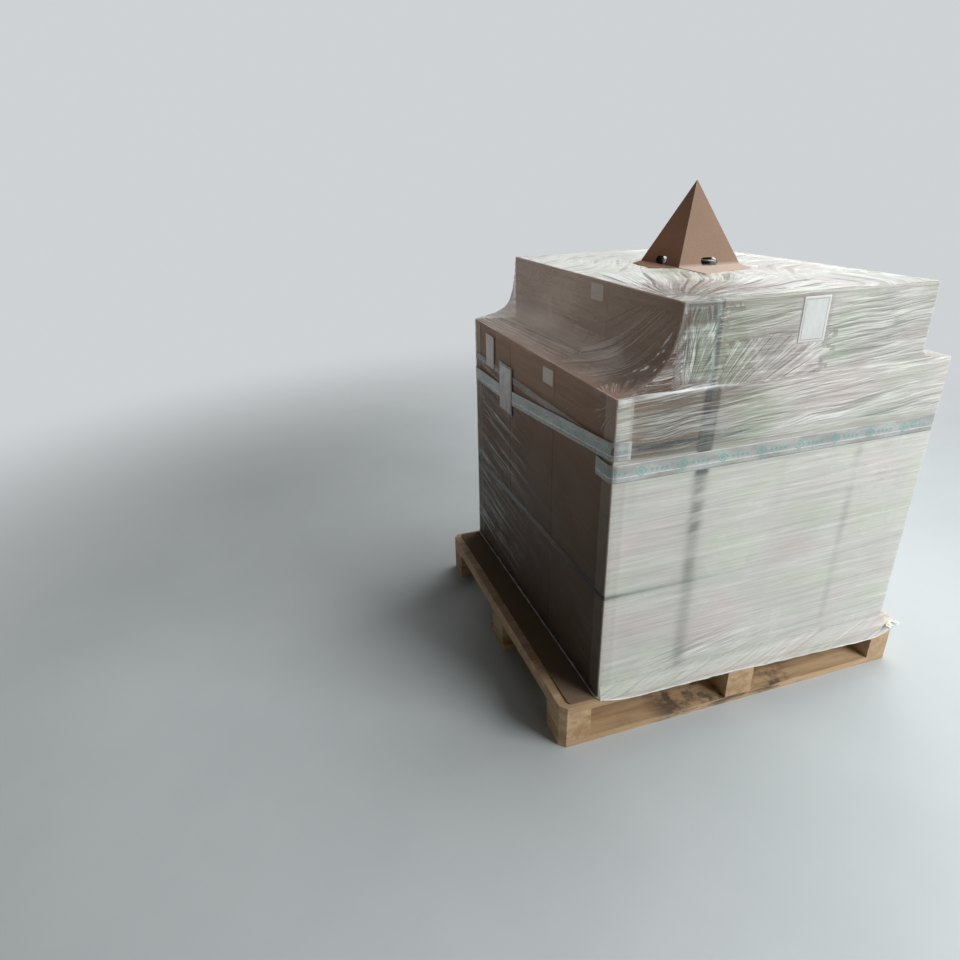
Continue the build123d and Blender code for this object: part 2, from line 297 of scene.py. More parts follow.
# Materials
def wood_material(name, grain_axis, seed, tone, smudge=0.0):
    """Rough sawn pine with its grain along one axis."""
    n = Nodes(name)
    shift = (seed * 3.7, seed * 1.9, seed * 5.3)

    def drawn(across, along):
        """Scales of a pattern that is drawn out along the grain."""
        return [along if axis == grain_axis else across for axis in "XYZ"]

    grain = n.noise(drawn(26.0, 1.6), 4.0, 0.55, 0.6, shift=shift)
    fine = n.noise(drawn(182.0, 11.2), 3.0, 0.6, shift=shift)
    broad = n.noise(2.2, 2.0, shift=shift)
    dirt = n.noise(7.0, 5.0, 0.65, shift=shift)
    knot_inputs = {"Vector": n.place(drawn(4.6, 1.9), shift=shift), "Scale": 1.0, "Randomness": 1.0}
    knots = n.add("TexVoronoi", knot_inputs).outputs["Distance"]
    base = n.layers(
        rgb(0.5, 0.315, 0.155, tone),
        (n.ramp(grain, 0.34, 0.66), rgb(0.72, 0.51, 0.3, tone)),
        (n.ramp(fine, 0.45, 0.75, 0.0, 0.35), rgb(0.36, 0.21, 0.1, tone)),
        (n.ramp(broad, 0.35, 0.7, 0.0, 0.35), rgb(0.6, 0.44, 0.29, tone)),
        (n.ramp(knots, 0.045, 0.1, 0.85, 0.0), rgb(0.17, 0.085, 0.04, tone)),
        (n.ramp(dirt, 0.52, 0.78, 0.0, 0.3 + smudge), rgb(0.16, 0.12, 0.09)),
    )
    if smudge:
        x, streak = n.axis("X"), n.noise((9.0, 9.0, 60.0), 4.0, 0.7, turn=(0, 0.5, 0))
        patch = n.times(n.ramp(x, -0.33, -0.22), n.ramp(x, 0.3, 0.14))
        base = n.mix(n.times(patch, n.ramp(streak, 0.42, 0.6, 0.0, 0.85)), base, rgb(0.055, 0.04, 0.035))
    n.bump(n.plus(n.times(grain, 0.6), n.times(fine, 0.5)), 0.5, 1.5 * MM)
    return n.finish(Base_Color=base, Roughness=n.ramp(fine, 0.3, 0.8, 0.62, 0.85))


def cardboard_material(name, colour, grime=0.25, cone_tones_and_shade=False, shaded_left_side=False):
    """Kraft board: fibre speckle, broad tone changes and pale scuffs. The cone's front flap is paler, and
    painted shade makes the cone's left face and the left side of the corner boards darker and browner."""
    n = Nodes(name)
    fibre = n.noise((260, 260, 420), 2.0, 0.7)
    broad = n.noise(3.1, 3.0, 0.6)
    scuff = n.noise((14, 14, 40), 5.0, 0.7)
    base = n.layers(
        rgb(*colour, 0.9),
        (n.ramp(fibre, 0.35, 0.65), rgb(*colour, 1.1)),
        (n.ramp(broad, 0.35, 0.65, 0.0, 0.5), rgb(*colour, 0.82)),
        (n.ramp(scuff, 0.58, 0.8, 0.0, grime), rgb(*[c * 1.45 + 0.03 for c in colour])),
    )
    if cone_tones_and_shade:
        low = n.ramp(n.axis("Z"), cone_foot + 12 * MM, cone_foot + 6 * MM)
        front = n.ramp(n.axis("Y"), -10 * MM, -30 * MM)
        # Painted shade: the cone's left face is coloured darker and browner
        away = n.minus(cone_tip.x, n.axis("X"))
        beside = n.size(n.minus(n.axis("Y"), cone_tip.y))
        left_face_shade = n.ramp(n.minus(away, beside), -MM, MM, 0.0, 0.7)
        base = n.layers(base, (n.times(low, front, 0.75), rgb(0.55, 0.45, 0.38)),
                        (left_face_shade, rgb(0.205, 0.088, 0.05)))
    if shaded_left_side:
        # Painted shade: the corner boards' left side is coloured darker and browner
        left = n.ramp(n.axis("X"), board_low.x + 1.2 * MM, board_low.x + 0.6 * MM)
        base = n.mix(n.times(left, 0.85), base, rgb(0.3, 0.225, 0.175))
    n.bump(fibre, 0.25, 0.6 * MM)
    return n.finish(Base_Color=base, Roughness=n.ramp(fibre, 0.2, 0.8, 0.78, 0.92), Specular_IOR_Level=0.1)


def strap_material():
    """Dark plastic strap with a pressed diamond pattern."""
    n = Nodes("strap_plastic")
    x, y, z = (n.times(n.axis(name), 2 * math.pi / (4 * MM)) for name in "XYZ")
    across = n.plus(x, y)
    press = n.times(n.math("SINE", n.plus(across, z)), n.math("SINE", n.minus(across, z)))
    wear = n.noise(60)
    base = n.mix(n.ramp(wear, 0.4, 0.75), rgb(0.02, 0.021, 0.024), rgb(0.055, 0.056, 0.06))
    n.bump(press, 0.5, 0.4 * MM)
    return n.finish(Base_Color=base, Roughness=n.ramp(wear, 0.3, 0.7, 0.38, 0.55))


def film_material():
    """Several layers of clear stretch film: see-through, milky where layers and creases gather, glossy. Its
    tint holds painted shade and painted highlights.
    """
    n = Nodes("stretch_film")
    haze, crease, fold, warm = (n.value(name) for name in ("haze", "crease", "fold", "warm"))
    lean = 0.035
    fine = n.noise((6.0, 430.0, 1), 2.0, 0.6, 0.4, uv="film", turn=(0, 0, lean))
    wide = n.noise((2.4, 120.0, 1), 3.0, 0.6, 0.5, uv="film", turn=(0, 0, -lean))
    cloud = n.noise((4.0, 6.0, 1), 4.0, 0.6, uv="film")
    hue = n.noise((3.2, 4.4, 1), 2.0, uv="film", shift=(3, 7, 0))
    sheet = n.noise(1.0, 2.0, uv="folds")
    gaps = n.ramp(n.noise((0.31, 0.6, 1), 2.0, uv="folds", shift=(5, 2, 0)), 0.38, 0.6, 0.15, 1.0)
    # Pale fold crests: partly milky creased film, partly a painted highlight on the folds' lit side
    ridge = n.times(n.ramp(n.size(n.minus(sheet, 0.5)), 0.075, 0.0), gaps, fold)
    # Painted shade in the hollows between folds, where the film is also a little clearer
    hollow = n.times(n.ramp(sheet, 0.48, 0.34), fold)
    streaks = n.plus(n.ramp(fine, 0.38, 0.68, -0.5, 0.5), n.ramp(wide, 0.38, 0.66, -0.5, 0.5))
    alpha = n.plus(haze, n.times(streaks, n.value("streak")), n.times(crease, 0.55), n.times(ridge, 0.36))
    drift = n.times(n.minus(cloud, 0.5), n.times(haze, 0.32))
    alpha = n.plus(n.minus(alpha, n.times(hollow, 0.08)), drift)
    alpha = n.math("MINIMUM", n.math("MAXIMUM", alpha, 0.02), 0.97)
    # The colour of painted shade: grey-green, and dark brown where the film is warm
    shade_colour = n.mix(warm, rgb(0.16, 0.18, 0.165), rgb(0.085, 0.05, 0.034))
    tint = n.layers(
        rgb(0.8, 0.805, 0.765),
        (n.ramp(hue, 0.46, 0.62), rgb(0.76, 0.805, 0.71145)),
        (n.ramp(hue, 0.5, 0.32), rgb(0.808, 0.760725, 0.730575)),
        (n.times(n.value("green"), 0.75), rgb(0.64, 0.8, 0.6)),
        # Warm brown film: a painted reflection of brown surroundings on the left, painted brown shade on the
        # ledge's web, and brown carton showing through on the front
        (n.times(warm, 0.85), rgb(0.7, 0.54, 0.45)),
        # Painted shade from the shade value and the fold hollows, then painted highlights on fold crests and
        # on the creases, which carry the glints
        (n.value("shade"), shade_colour),
        (n.times(hollow, 0.55), shade_colour),
        (n.times(ridge, 0.7), rgb(0.92, 0.92, 0.9)),
        (n.ramp(crease, 0.15, 0.8), rgb(0.93, 0.93, 0.92)),
    )
    n.bump(n.plus(n.times(fine, 0.45), n.times(wide, 0.9), n.times(sheet, fold, 5.0)), 0.55, 2.2 * MM)
    return n.finish(Base_Color=tint, Roughness=n.ramp(cloud, 0.3, 0.7, 0.16, 0.3), Alpha=alpha,
                    Specular_IOR_Level=0.34)


def tape_material():
    """Pale tape with a printed row of teal lozenges, a large one and four small ones in turn."""
    n = Nodes("tape_film")
    pitch, small_pitch = 0.118, 0.014
    along, across = n.axis("X", uv="tape"), n.axis("Y", uv="tape")
    local = n.times(n.minus(n.math("FRACT", n.math("DIVIDE", along, pitch)), 0.3), pitch)
    lozenge = n.plus(n.size(local), n.times(n.size(across), 1.25))
    ring, heart = n.between(lozenge, 12.5 * MM, 18.5 * MM), n.math("LESS_THAN", lozenge, 8.5 * MM)
    ahead = n.minus(local, 24 * MM)
    beat = n.minus(n.math("FRACT", n.math("DIVIDE", ahead, small_pitch)), 0.5)
    small = n.math("LESS_THAN", n.plus(n.times(n.size(beat), small_pitch), n.size(across)), 6 * MM)
    ink = n.math("MAXIMUM", ring, heart, n.times(small, n.between(ahead, 0.0, 4 * small_pitch)))
    wear = n.noise((90, 160, 1), 4.0, 0.7, uv="tape")
    cloud = n.noise((9, 30, 1), uv="tape")
    shaded = n.ramp(n.axis("X"), wall_left - MM, wall_left + 2 * MM, 0.5, 0.0)
    # Painted highlight: a pale line along the tape's raised fold near its lower edge
    edge = n.ramp(n.size(n.plus(across, 10 * MM)), 0.6 * MM, 2.4 * MM, 0.75, 0.0)
    base = n.layers(
        rgb(0.37, 0.39, 0.38),
        (n.ramp(cloud, 0.35, 0.65), rgb(0.49, 0.51, 0.495)),
        (shaded, rgb(0.24, 0.21, 0.18)),
        (n.times(edge, n.ramp(wear, 0.3, 0.5, 0.5, 1.0)), rgb(0.8, 0.82, 0.83)),
        (n.times(ink, n.ramp(wear, 0.3, 0.6, 0.3, 0.78)), rgb(0.13, 0.42, 0.36)),
    )
    ripple = n.noise((14, 220, 1), 3.0, 0.6, uv="tape")
    crinkle = n.noise((60, 45, 1), 3.0, 0.6, uv="tape", turn=(0, 0, 0.5))
    n.bump(n.plus(ripple, n.times(crinkle, 0.7)), 0.5, 1.4 * MM)
    return n.finish(Base_Color=base, Roughness=n.ramp(wear, 0.3, 0.7, 0.24, 0.36),
                    Alpha=n.ramp(cloud, 0.3, 0.7, 0.86, 0.97))


def paper_material(name, colour):
    """Label paper: slightly uneven, with faint waves."""
    n = Nodes(name)
    broad = n.noise(18)
    base = n.layers(
        rgb(*colour),
        (n.ramp(n.noise(500, 2.0), 0.3, 0.7, 0.0, 0.5), rgb(*colour, 0.95)),
        (n.ramp(broad, 0.4, 0.8, 0.0, 0.6), rgb(*colour, 0.86)),
    )
    n.bump(broad, 0.35, 2 * MM)
    return n.finish(Base_Color=base, Roughness=n.ramp(broad, 0.3, 0.7, 0.42, 0.6))


def inside_rim(n, wide, high):
    """Way in from the rim of a sheet of paper of that size."""
    across, up = n.axis("X", uv="paper"), n.axis("Y", uv="paper")
    return n.math("MINIMUM", n.minus(wide / 2, n.size(across)), n.minus(high / 2, n.size(up)))


def framed_paper_material(name, pale, dull):
    """Label paper with a thin printed frame and nothing inside it."""
    n = Nodes(name)
    frame_line = n.between(inside_rim(n, *label_size), 6 * MM, 8.2 * MM)
    broad = n.noise(22)
    base = n.layers(pale, (n.ramp(broad, 0.35, 0.75, 0.0, 0.5), dull),
                    (n.times(frame_line, 0.6), rgb(0.45, 0.16, 0.14)))
    n.bump(broad, 0.3, 2 * MM)
    return n.finish(Base_Color=base, Roughness=n.ramp(broad, 0.3, 0.7, 0.35, 0.5))


def pouch_material():
    """Clear document wallet with folded paper inside."""
    n = Nodes("pouch_film")
    inside = n.ramp(inside_rim(n, *pouch_size), 8 * MM, 10 * MM)
    broad = n.noise(26, 4.0, 0.6)
    sheen = n.noise((30, 30, 90), 3.0, 0.7, turn=(0.5, 0, 0))
    # The pouch's dim colours are painted shade, as on the shaded left side
    paper = n.mix(n.ramp(broad, 0.35, 0.7), rgb(0.31, 0.285, 0.265), rgb(0.43, 0.4, 0.375))
    fold = n.math("LESS_THAN", n.size(n.minus(n.axis("Y", uv="paper"), 4 * MM)), 0.9 * MM)
    base = n.layers(rgb(0.38, 0.34, 0.31), (inside, paper), (n.times(fold, 0.5), rgb(0.3, 0.3, 0.31)))
    n.bump(sheen, 0.5, 3 * MM)
    return n.finish(Base_Color=base, Roughness=n.ramp(sheen, 0.3, 0.7, 0.12, 0.25),
                    Alpha=n.plus(n.times(inside, 0.55), 0.38))


def dress(node, material):
    mesh = bpy.data.objects[node].data
    mesh.materials.clear()
    mesh.materials.append(material)


def dress_cad_nodes():
    deck_tones = (0.82, 0.9, 0.8, 0.88, 0.92, 0.82, 0.86, 0.91, 0.8, 0.88)
    for number, tone in enumerate(deck_tones, start=1):
        dress(f"deck_board_{number}", wood_material(f"deck_wood_{number}", "X", number, tone))
    for number, smudge in enumerate((0.15, 0.0, 0.0), start=1):
        stringer = wood_material(f"stringer_wood_{number}", "Y", 20 + number, 0.84)
        bottom = wood_material(f"bottom_wood_{number}", "X", 30 + number, 0.84, smudge)
        dress(f"stringer_board_{number}", stringer)
        dress(f"bottom_board_{number}", bottom)
    for number in range(1, 10):
        dress(f"pallet_block_{number}", wood_material(f"block_wood_{number}", "Y", 40 + number, 0.8))
    carton = cardboard_material("carton_cardboard", (0.235, 0.15, 0.1))
    for tier in range(1, 6):
        dress(f"carton_tier_{tier}", carton)
    dress("base_sheet", cardboard_material("base_cardboard", (0.23, 0.165, 0.115)))
    board = cardboard_material("board_cardboard", (0.47, 0.41, 0.345), grime=0.1, shaded_left_side=True)
    for corner in ("front_left", "front_right", "back_left", "back_right"):
        dress(f"corner_board_{corner}", board)
    cone = cardboard_material("cone_cardboard", (0.278, 0.192, 0.14), grime=0.1, cone_tones_and_shade=True)
    dress("pallet_cone", cone)
    strap = strap_material()
    for node in ("upright_strap_left", "upright_strap_right", "level_strap_lower", "level_strap_upper"):
        dress(node, strap)
    label = paper_material("label_paper", (0.84, 0.85, 0.85))
    for node in ("front_label", "side_label", "document_pouch"):
        dress(node, label)


dress_cad_nodes()
film_finish = film_material()

# Stretch film. Its walls are rings of points, one ring for each height, and its roof is rings drawn in
# towards the middle. Every point knows its side, so that folds can run in their own direction on each:
# 0 at the front, 1 at the right, 2 at the back and 3 at the left.
CORNER_STEPS = 4
corner_round = 6 * MM
roof_round = 5 * MM
tent_tall = roof_z - roof_round - ledge_z


def side_steps():
    """Places along each side, from 0 to 1, closer together where the film is creased upright."""
    creased = np.concatenate([np.arange(0.03, 0.14, 0.0095), np.arange(0.14, 0.31, 0.0042)])
    front = np.concatenate([[0.0, 0.015], creased, np.arange(0.315, 1.0, 0.019), [1.0]])
    near_end = 1 - np.concatenate([np.arange(0.0, 0.14, 0.0048), np.arange(0.145, 0.32, 0.0095)])[::-1]
    left = np.concatenate([np.arange(0.0, 0.675, 0.018), near_end])
    return front, np.linspace(0, 1, 40), np.linspace(0, 1, 40), left


def outline(steps, left, right, depth):
    """One ring of points and their sides, running front, right, back, left round four rounded corners."""
    left, right, depth = left + corner_round, right - corner_round, depth - corner_round
    corners = np.array([(left, -depth), (right, -depth), (right, depth), (left, depth)])
    points, sides = [], []
    for side, shares in enumerate(steps):
        start, end = corners[side], corners[(side + 1) % 4]
        places = [(start + (end - start) * share, 0) for share in shares]
        places += [(end, 90 * step / CORNER_STEPS) for step in range(1, CORNER_STEPS)]
        for place, turn in places:
            angle = math.radians(90 * side - 90 + turn)
            points.append(place + corner_round * np.array([math.cos(angle), math.sin(angle)]))
            sides.append(side)
    return np.array(points), np.array(sides)


def nearness(y):
    """0 at the back of the load, rising to 1 at its front."""
    return fall(y, 0.15, 0.67) ** 2


def tent_share(height, points):
    """Share of a ledge that the film still covers at a height over it. The curve is tight at the right and
    a long hollow one at the left, where the film is drawn up higher towards the front."""
    left = fall(points[:, 0], wall_right, wall_right - wall_left) ** 2
    near = nearness(points[:, 1])
    slow = 0.02 + left * (0.3 + 0.3 * near)
    quick = (7 + left * (9 + 7 * near)) * MM

    def curve(over):
        return (1 - slow) * np.exp(-over / quick) + slow * np.exp(-over / (72 * MM))

    return (curve(height) - curve(tent_tall)) / (1 - curve(tent_tall))


def band_edges(u, z):
    """Thin ridges where one turn of film overlaps the last, a little out of level."""
    total = 0.0
    turns = ((0.262, 0.012), (0.431, -0.02), (0.566, 0.015), (0.724, -0.008),
             (0.798, 0.02), (0.968, -0.015), (1.066, 0.03), (1.163, -0.01))
    for seed, (height, lean) in enumerate(turns, start=201):
        middle = height + lean * u + 4 * MM * noise(u * 5, 0, seed)
        strength = 0.35 + 0.65 * np.clip(noise(u * 2.3, 0.5, seed + 20) + 0.35, 0, 1)
        total = total + strength * line(z, middle, 3 * MM)
    return total


# Folds: one function for each part of the film gives their heights in metres and the creases' strengths
def front_folds(x, z):
    """The front and back: level folds, busier low down and over the ledge, with crinkles and a slanting
    patch near the left strap, band edges and a rope of film along the ledge."""
    tilt = z - 0.05 * x
    lift = 0.5 * MM * folds(x * 4, tilt * 110, 11) + 0.8 * MM * folds(x * 1.3 + z * 2, tilt * 34, 21)
    crease = 0.1 * crest(folds(x * 2.6, tilt * 95, 31))
    crinkle = window(x, -0.34, -0.19, 0.03) * window(z, 1.025, 1.235, 0.03)
    crinkle = crinkle * (0.55 + 0.45 * fall(x, -0.21, 0.1))
    wave = noise(x * 8, z * 14, 41) * 0.55
    upright = folds(x * 50 + wave * 3 + z * 4, z * 7 + wave, 43, 2)
    pulls = folds(x * 3.2, (z - 0.16 * x) * 70, 35, 2)
    foot = np.exp(-np.clip(z - sheet_top, 0, 1) / 0.07)
    waves = folds(x * 2.2, (z - 0.06 * x) * 62, 37, 3)
    busy = window(z, 0.85, 1.24, 0.04)
    slanting = folds((z - 0.9 * x) * 5 + noise(x * 9, z * 9, 47) * 0.4, (x + 0.9 * z) * 46, 49, 2)
    slant = window(x, -0.3, 0.12, 0.05) * window(z, 0.975, 1.17, 0.03)
    lift = lift + foot * 1.6 * MM * pulls + busy * 1.3 * MM * waves
    crease = crease + foot * 0.28 * crest(pulls) + busy * 0.32 * crest(waves, 0.44, 0.8)
    lift = lift * (1 - 0.7 * crinkle) + crinkle * 3.2 * MM * upright + slant * 1.5 * MM * slanting
    crease = crease * (1 - 0.6 * crinkle) + crinkle * 0.3 * crest(upright, 0.34, 0.72)
    crease = crease + slant * (1 - 0.7 * crinkle) * 0.22 * crest(slanting, 0.42, 0.8)
    edges = band_edges(x, z)
    rope = line(z, ledge_z + 4 * MM * noise(x * 9, 0, 307), 3.5 * MM) * window(x, -0.6, 0.02, 0.3)
    return lift + MM * edges + 1.5 * MM * rope, crease + 0.22 * edges + 0.6 * rope


# Painted glints, small bright highlights in the film near the ledge's near corner: place along y, way over
# the film, length, width
GLINTS = ((-0.4716, 0.1193, 6.0, 4.2), (-0.464, 0.112, 9.0, 2.0), (-0.4811, 0.1598, 4.0, 2.4),
          (-0.4959, 0.17, 3.0, 2.0), (-0.4421, 0.1007, 5.0, 2.0), (-0.493, 0.196, 20.0, 2.4),
          (-0.5062, 0.1222, 2.5, 2.0), (-0.516, 0.1476, 3.0, 1.8))


def glints(y, arc):
    total = 0.0
    for place, way, length, width in GLINTS:
        along = (y - place) * 0.5 - (arc - way) * 0.87
        across = (y - place) * 0.87 + (arc - way) * 0.5
        total = total + line(along, 0, length * MM) * line(across, 0, width * MM)
    return total


def side_pull(y, arc):
    """Angle and reach from the place over the roof that the long folds at the near end run to."""
    return polar(y + wall_depth + 0.12, 0.4 - arc)


def side_folds(y, z, arc):
    """A side: long folds over the ledge, a fan of folds at the near end, and faint slanting pulls lower
    down. The arc is the way over the film from the ledge."""
    tent = window(z, ledge_z - 0.012, ledge_z + 0.04 + 0.09 * nearness(y), 0.02)
    along = folds(y * 1.1, arc * 78 + y * 2.4, 61)
    lift = 0.5 * MM * folds(y * 2.2, z * 46 + y * 9, 63) + tent * 3.4 * MM * along
    pull = folds(y * 1.8 + z * 2, (z - 0.27 * y) * 64, 65)
    crease = 0.08 * crest(pull, 0.42, 0.85) + tent * 0.14 * crest(along, 0.4, 0.85)
    angle, reach = side_pull(y, arc)
    fan = window(y, -0.6, -0.05, 0.18) * window(arc, -0.006, 0.26, 0.03)
    ray = folds(angle * 17 + noise(reach * 9, angle * 2, 67) * 0.3, reach * 2.2, 69, 2)
    lift = lift * (1 - 0.6 * fan) + fan * 2.6 * MM * ray
    # Painted glints go into the creases, which the film's material draws white
    crease = crease * (1 - 0.6 * fan) + fan * 0.05 * crest(ray, 0.34, 0.78) + 1.6 * glints(y, arc)
    edges = band_edges(y + 1.0, z)
    return lift + 0.8 * MM * edges, crease + 0.1 * edges


def corner_web(x, z):
    """1 on the front's clear web of film between the ledge's near corner and the top tier."""
    return window(x, wall_left - 0.01, top_left - 0.001, 0.004) * rise(z, ledge_z + 0.002, 0.004)


def web_spread(x, z):
    """Angle and reach from that ledge corner."""
    return polar(x - wall_left + 0.002, z - ledge_z + 0.004)[0], np.hypot(x - wall_left, z - ledge_z)


def web_folds(x, z):
    """The web: folds that spread from the ledge's corner."""
    angle, reach = web_spread(x, z)
    ray = folds(angle * 9, reach * 5, 55, 2)
    return 2.5 * MM * ray, 0.08 * crest(ray, 0.4, 0.8)


def roof_spread(x, y):
    """Angle and reach from the roof's near left corner."""
    return polar(x - top_left, y + top_depth)


def roof_lie(x, y):
    """Ways along and across the folds that lie along the roof."""
    warp = noise(x * 4, y * 4, 75) * 0.12
    return x * 0.8 + y * 0.6, y * 0.8 - x * 0.6 + warp, warp


def roof_folds(x, y):
    """The roof: folds that spread from the near left corner and lie along the roof elsewhere."""
    angle, reach = roof_spread(x, y)
    fan = window(reach, 0.02, 0.5, 0.12)
    ray = folds(angle * 9 + noise(reach * 6, angle * 2, 71) * 0.5, reach * 2.4, 73)
    along, across, warp = roof_lie(x, y)
    lie = folds(along * 3.2 + warp, across * 21, 77)
    edge = window(x, top_left + 0.05, top_right - 0.02, 0.04)
    edge = edge * window(y, 0.01 - top_depth, top_depth - 0.02, 0.04)
    lift = edge * (fan * 4.0 * MM * ray + (1 - fan) * 2.8 * MM * lie)
    return lift, edge * 0.35 * (fan * crest(ray, 0.36, 0.74) + (1 - fan) * crest(lie, 0.42, 0.8))


# What shows through the film
def strap_bands(x, z):
    """How near the film's middle is to the upright straps: 1 over the left one, less over the right one, and
    a wide painted shadow round the left one below the tape.
    """
    half = np.interp(z, [0.78, 0.8, 1.026, 1.036], [0.02, 0.022, 0.022, 0.006])
    heights = [0.15, 0.4, 0.62, 0.79, 0.8, 1.02, 1.04]
    strong = np.interp(z, heights, [0.38, 0.4, 0.48, 0.7, 1.0, 1.0, 0.98])
    sharp = rise(z, 0.795, 0.01)
    wander = 3 * MM * noise(z * 7, 0, 131)
    away = np.abs(x - left_strap_x - 4 * MM * sharp - wander)
    first = strong * np.exp(-(away / half) ** (2.6 + 3.4 * sharp))
    second = 0.22 * line(x, right_strap_x + wander, 0.01) * window(z, 0.2, 0.84, 0.06)
    # A wide, faint painted shadow round the left strap, below the tape
    return first + second + 0.14 * line(x, left_strap_x - 0.006, 0.045) * fall(z, 0.83, 0.03)


def level_band(x, z):
    """The same for the lower level strap, and for the upper one where it shows."""
    lower = line(z, level_middle, 6.5 * MM) * np.clip(1.2 - (x - wall_left) / 0.33, 0.1, 1)
    seen = 0.5 * window(x, -0.44, -0.2, 0.03) + 0.6 * window(x, 0.25, 0.38, 0.03)
    return lower + line(z, TAPE_END, 6 * MM) * seen


def broken_light(x, z):
    return 0.35 + 0.65 * np.clip(0.5 + noise(x * 3, z * 9, 133) * 1.4, 0, 1)


def along_front(x, values):
    """A value read off between fixed places from the left of the front to its right."""
    return np.interp(x, [-0.49, -0.34, -0.2, -0.05, 0.1, 0.5], values)


def brown_window(x):
    """1 between the near corner board and the left strap, where brown carton shows."""
    return window(x, wall_left + 0.045, -0.222, 0.01)


def front_shade(x, z):
    """Painted shade on the front from straps, seams and shadows behind its many layers, and over the ledge's
    web.
    """
    firm = np.interp(z, [0.797, 0.805, 1.028, 1.036], [0.25, 0.85, 0.85, 0.6])
    breaks = np.clip(noise(x * 18, (z - 0.25 * x) * 110, 139) * 1.6 + 0.3, 0, 1)
    dashes = 1 - 0.55 * window(z, 0.6, 0.8, 0.05) * breaks
    strip = window(x, top_left + 0.006, -0.225, 0.015) * (0.14 + 0.24 * window(z, 1.165, 1.3, 0.03))
    over = along_front(x, [0.6, 0.5, 0.34, 0.22, 0.17, 0.23]) + strip
    under = along_front(x, [0.1, 0.7, 0.42, 0.08, 0.03, 0.02])
    seams = line(x, 0.021, 5 * MM) + sum(line(z, height, 4 * MM) for height in (0.367, 0.586))
    blotch = window(x, 0.28, 0.36, 0.03) * window(z, 1.07, 1.17, 0.03)
    shade = (
        strap_bands(x, z) * (firm + (1 - firm) * broken_light(x, z * 1.7)) * dashes
        + 0.55 * level_band(x, z) * broken_light(x + 3, 0)
        + 0.12 * brown_window(x) * window(z, 0.862, 1.025, 0.015)
        + over * rise(z, ledge_z, 0.01)
        + under * window(z, 0.862, ledge_z + 0.01, 0.01)
        # Painted shade: a dark line beside the top tier's near-left edge
        + 0.6 * line(x, top_left + 0.012, 3 * MM) * rise(z, 1.1, 0.03)
        + (0.1 * seams + 0.12 * line(z, 0.81, 4 * MM)) * broken_light(x, z)
        + 0.5 * blotch * np.clip(noise(x * 55, z * 40, 137) + 0.2, 0, 1)
        + 0.1 * window(x, wall_left, -0.41, 0.01) * window(z, 0.725, 0.815, 0.004)
    )
    # Painted shade: the web of film at the ledge's near corner is dark
    web = corner_web(x, z)
    return np.clip(shade, 0, 1) * (1 - web) + 0.9 * web


def left_shade(z):
    """Painted shade on the left, darker lower down, and a dark brown cover over the two level straps."""
    low = 0.96 * window(z, -0.1, ledge_z, 0.02) * fall(z, ledge_z, 0.22)
    low = np.maximum(low, 0.74 * window(z, 0.88, 0.915, 3 * MM))
    return np.maximum(low, 0.95 * window(z, level_middle - 0.016, level_middle + 0.016, 4 * MM))


# Haze: one function for each part gives how milky the film is, from clear 0 to white 1, and its streaks
def front_haze(x, z):
    """The front and back: white low down, and clearer over the tape towards the left end."""
    upper, over = rise(z, 0.86, 0.02), rise(z, 1.04, 0.012)
    clear = along_front(x, [0.32, 0.5, 0.54, 0.61, 0.68, 0.66])
    straps = strap_bands(x, z) * broken_light(x, z) * (1 - over)
    board = window(x, wall_left - 0.01, wall_left + 0.045, 0.006) * (z < ledge_z)
    # Painted highlight along the top tier's near-left edge, with a clearer, darker line beside it
    edge_highlight_and_shade = line(x, top_left + 0.005, 2.5 * MM) - line(x, top_left + 0.013, 3 * MM)
    haze = (
        0.74 * (1 - upper) + clear * upper
        + straps * np.interp(z, [0.797, 0.806], [-0.14, 0.32])
        + 0.24 * window(x, strap_low.x - 0.004, strap_high.x + 0.004, 0.004) * over
        - 0.16 * level_band(x, z)
        + board * (0.4 * upper - 0.1)
        + 0.35 * edge_highlight_and_shade * (z > ledge_z + 0.02)
        + 0.14 * window(x, top_left + 0.006, -0.215, 0.015) * (z > ledge_z + 0.008)
    )
    streak = 0.08 + (0.09 + 0.16 * np.clip(0.1 - x, 0, 0.5)) * upper
    web = corner_web(x, z)
    return haze * (1 - web) + 0.7 * web, streak * (1 - web) + 0.04 * web


def left_haze(y, z):
    """The left: clear film, milkier higher up and at the far end, a painted sheen, and painted shade lower
    down.
    """
    high, over = rise(z, 0.35, 0.65), rise(z, ledge_z, 0.03)
    far = rise(y, -wall_depth, 2 * wall_depth)
    tent = rise(z, ledge_z - 0.002, 0.002) * window(z, 0, ledge_z + 0.085, 0.06)
    tent = tent * (1 - 0.75 * window(y, -0.6, -0.3, 0.14))
    sheen = window(y + 0.9 * z, 0.95, 1.35, 0.16) * over
    haze = (
        0.02 + high * (0.02 + 0.07 * far) + over * (0.15 + 0.17 * far) + 0.26 * tent + 0.1 * sheen
        # Denser film lower down, which with left_shade paints shade there
        + 0.5 * (1 - high) * (1 - 0.35 * far)
        + 0.55 * window(z, 0.884, 0.911, 0.004)
        + 0.5 * window(z, 0.468, 0.496, 0.005) * window(y, -0.46, 0.6, 0.25)
    )
    return haze, 0.03 + 0.06 * high - 0.05 * over


def roof_haze(x, y):
    """The roof: a smooth pale band at the left edge, clearer near the front left corner."""
    fan = window(roof_spread(x, y)[1], 0.02, 0.42, 0.12)
    band = fall(x, top_left + 0.04, 0.04) * rise(y, -0.35, 0.2)
    return 0.87 - 0.3 * fan + 0.08 * band, 0.12 + 0.06 * fan


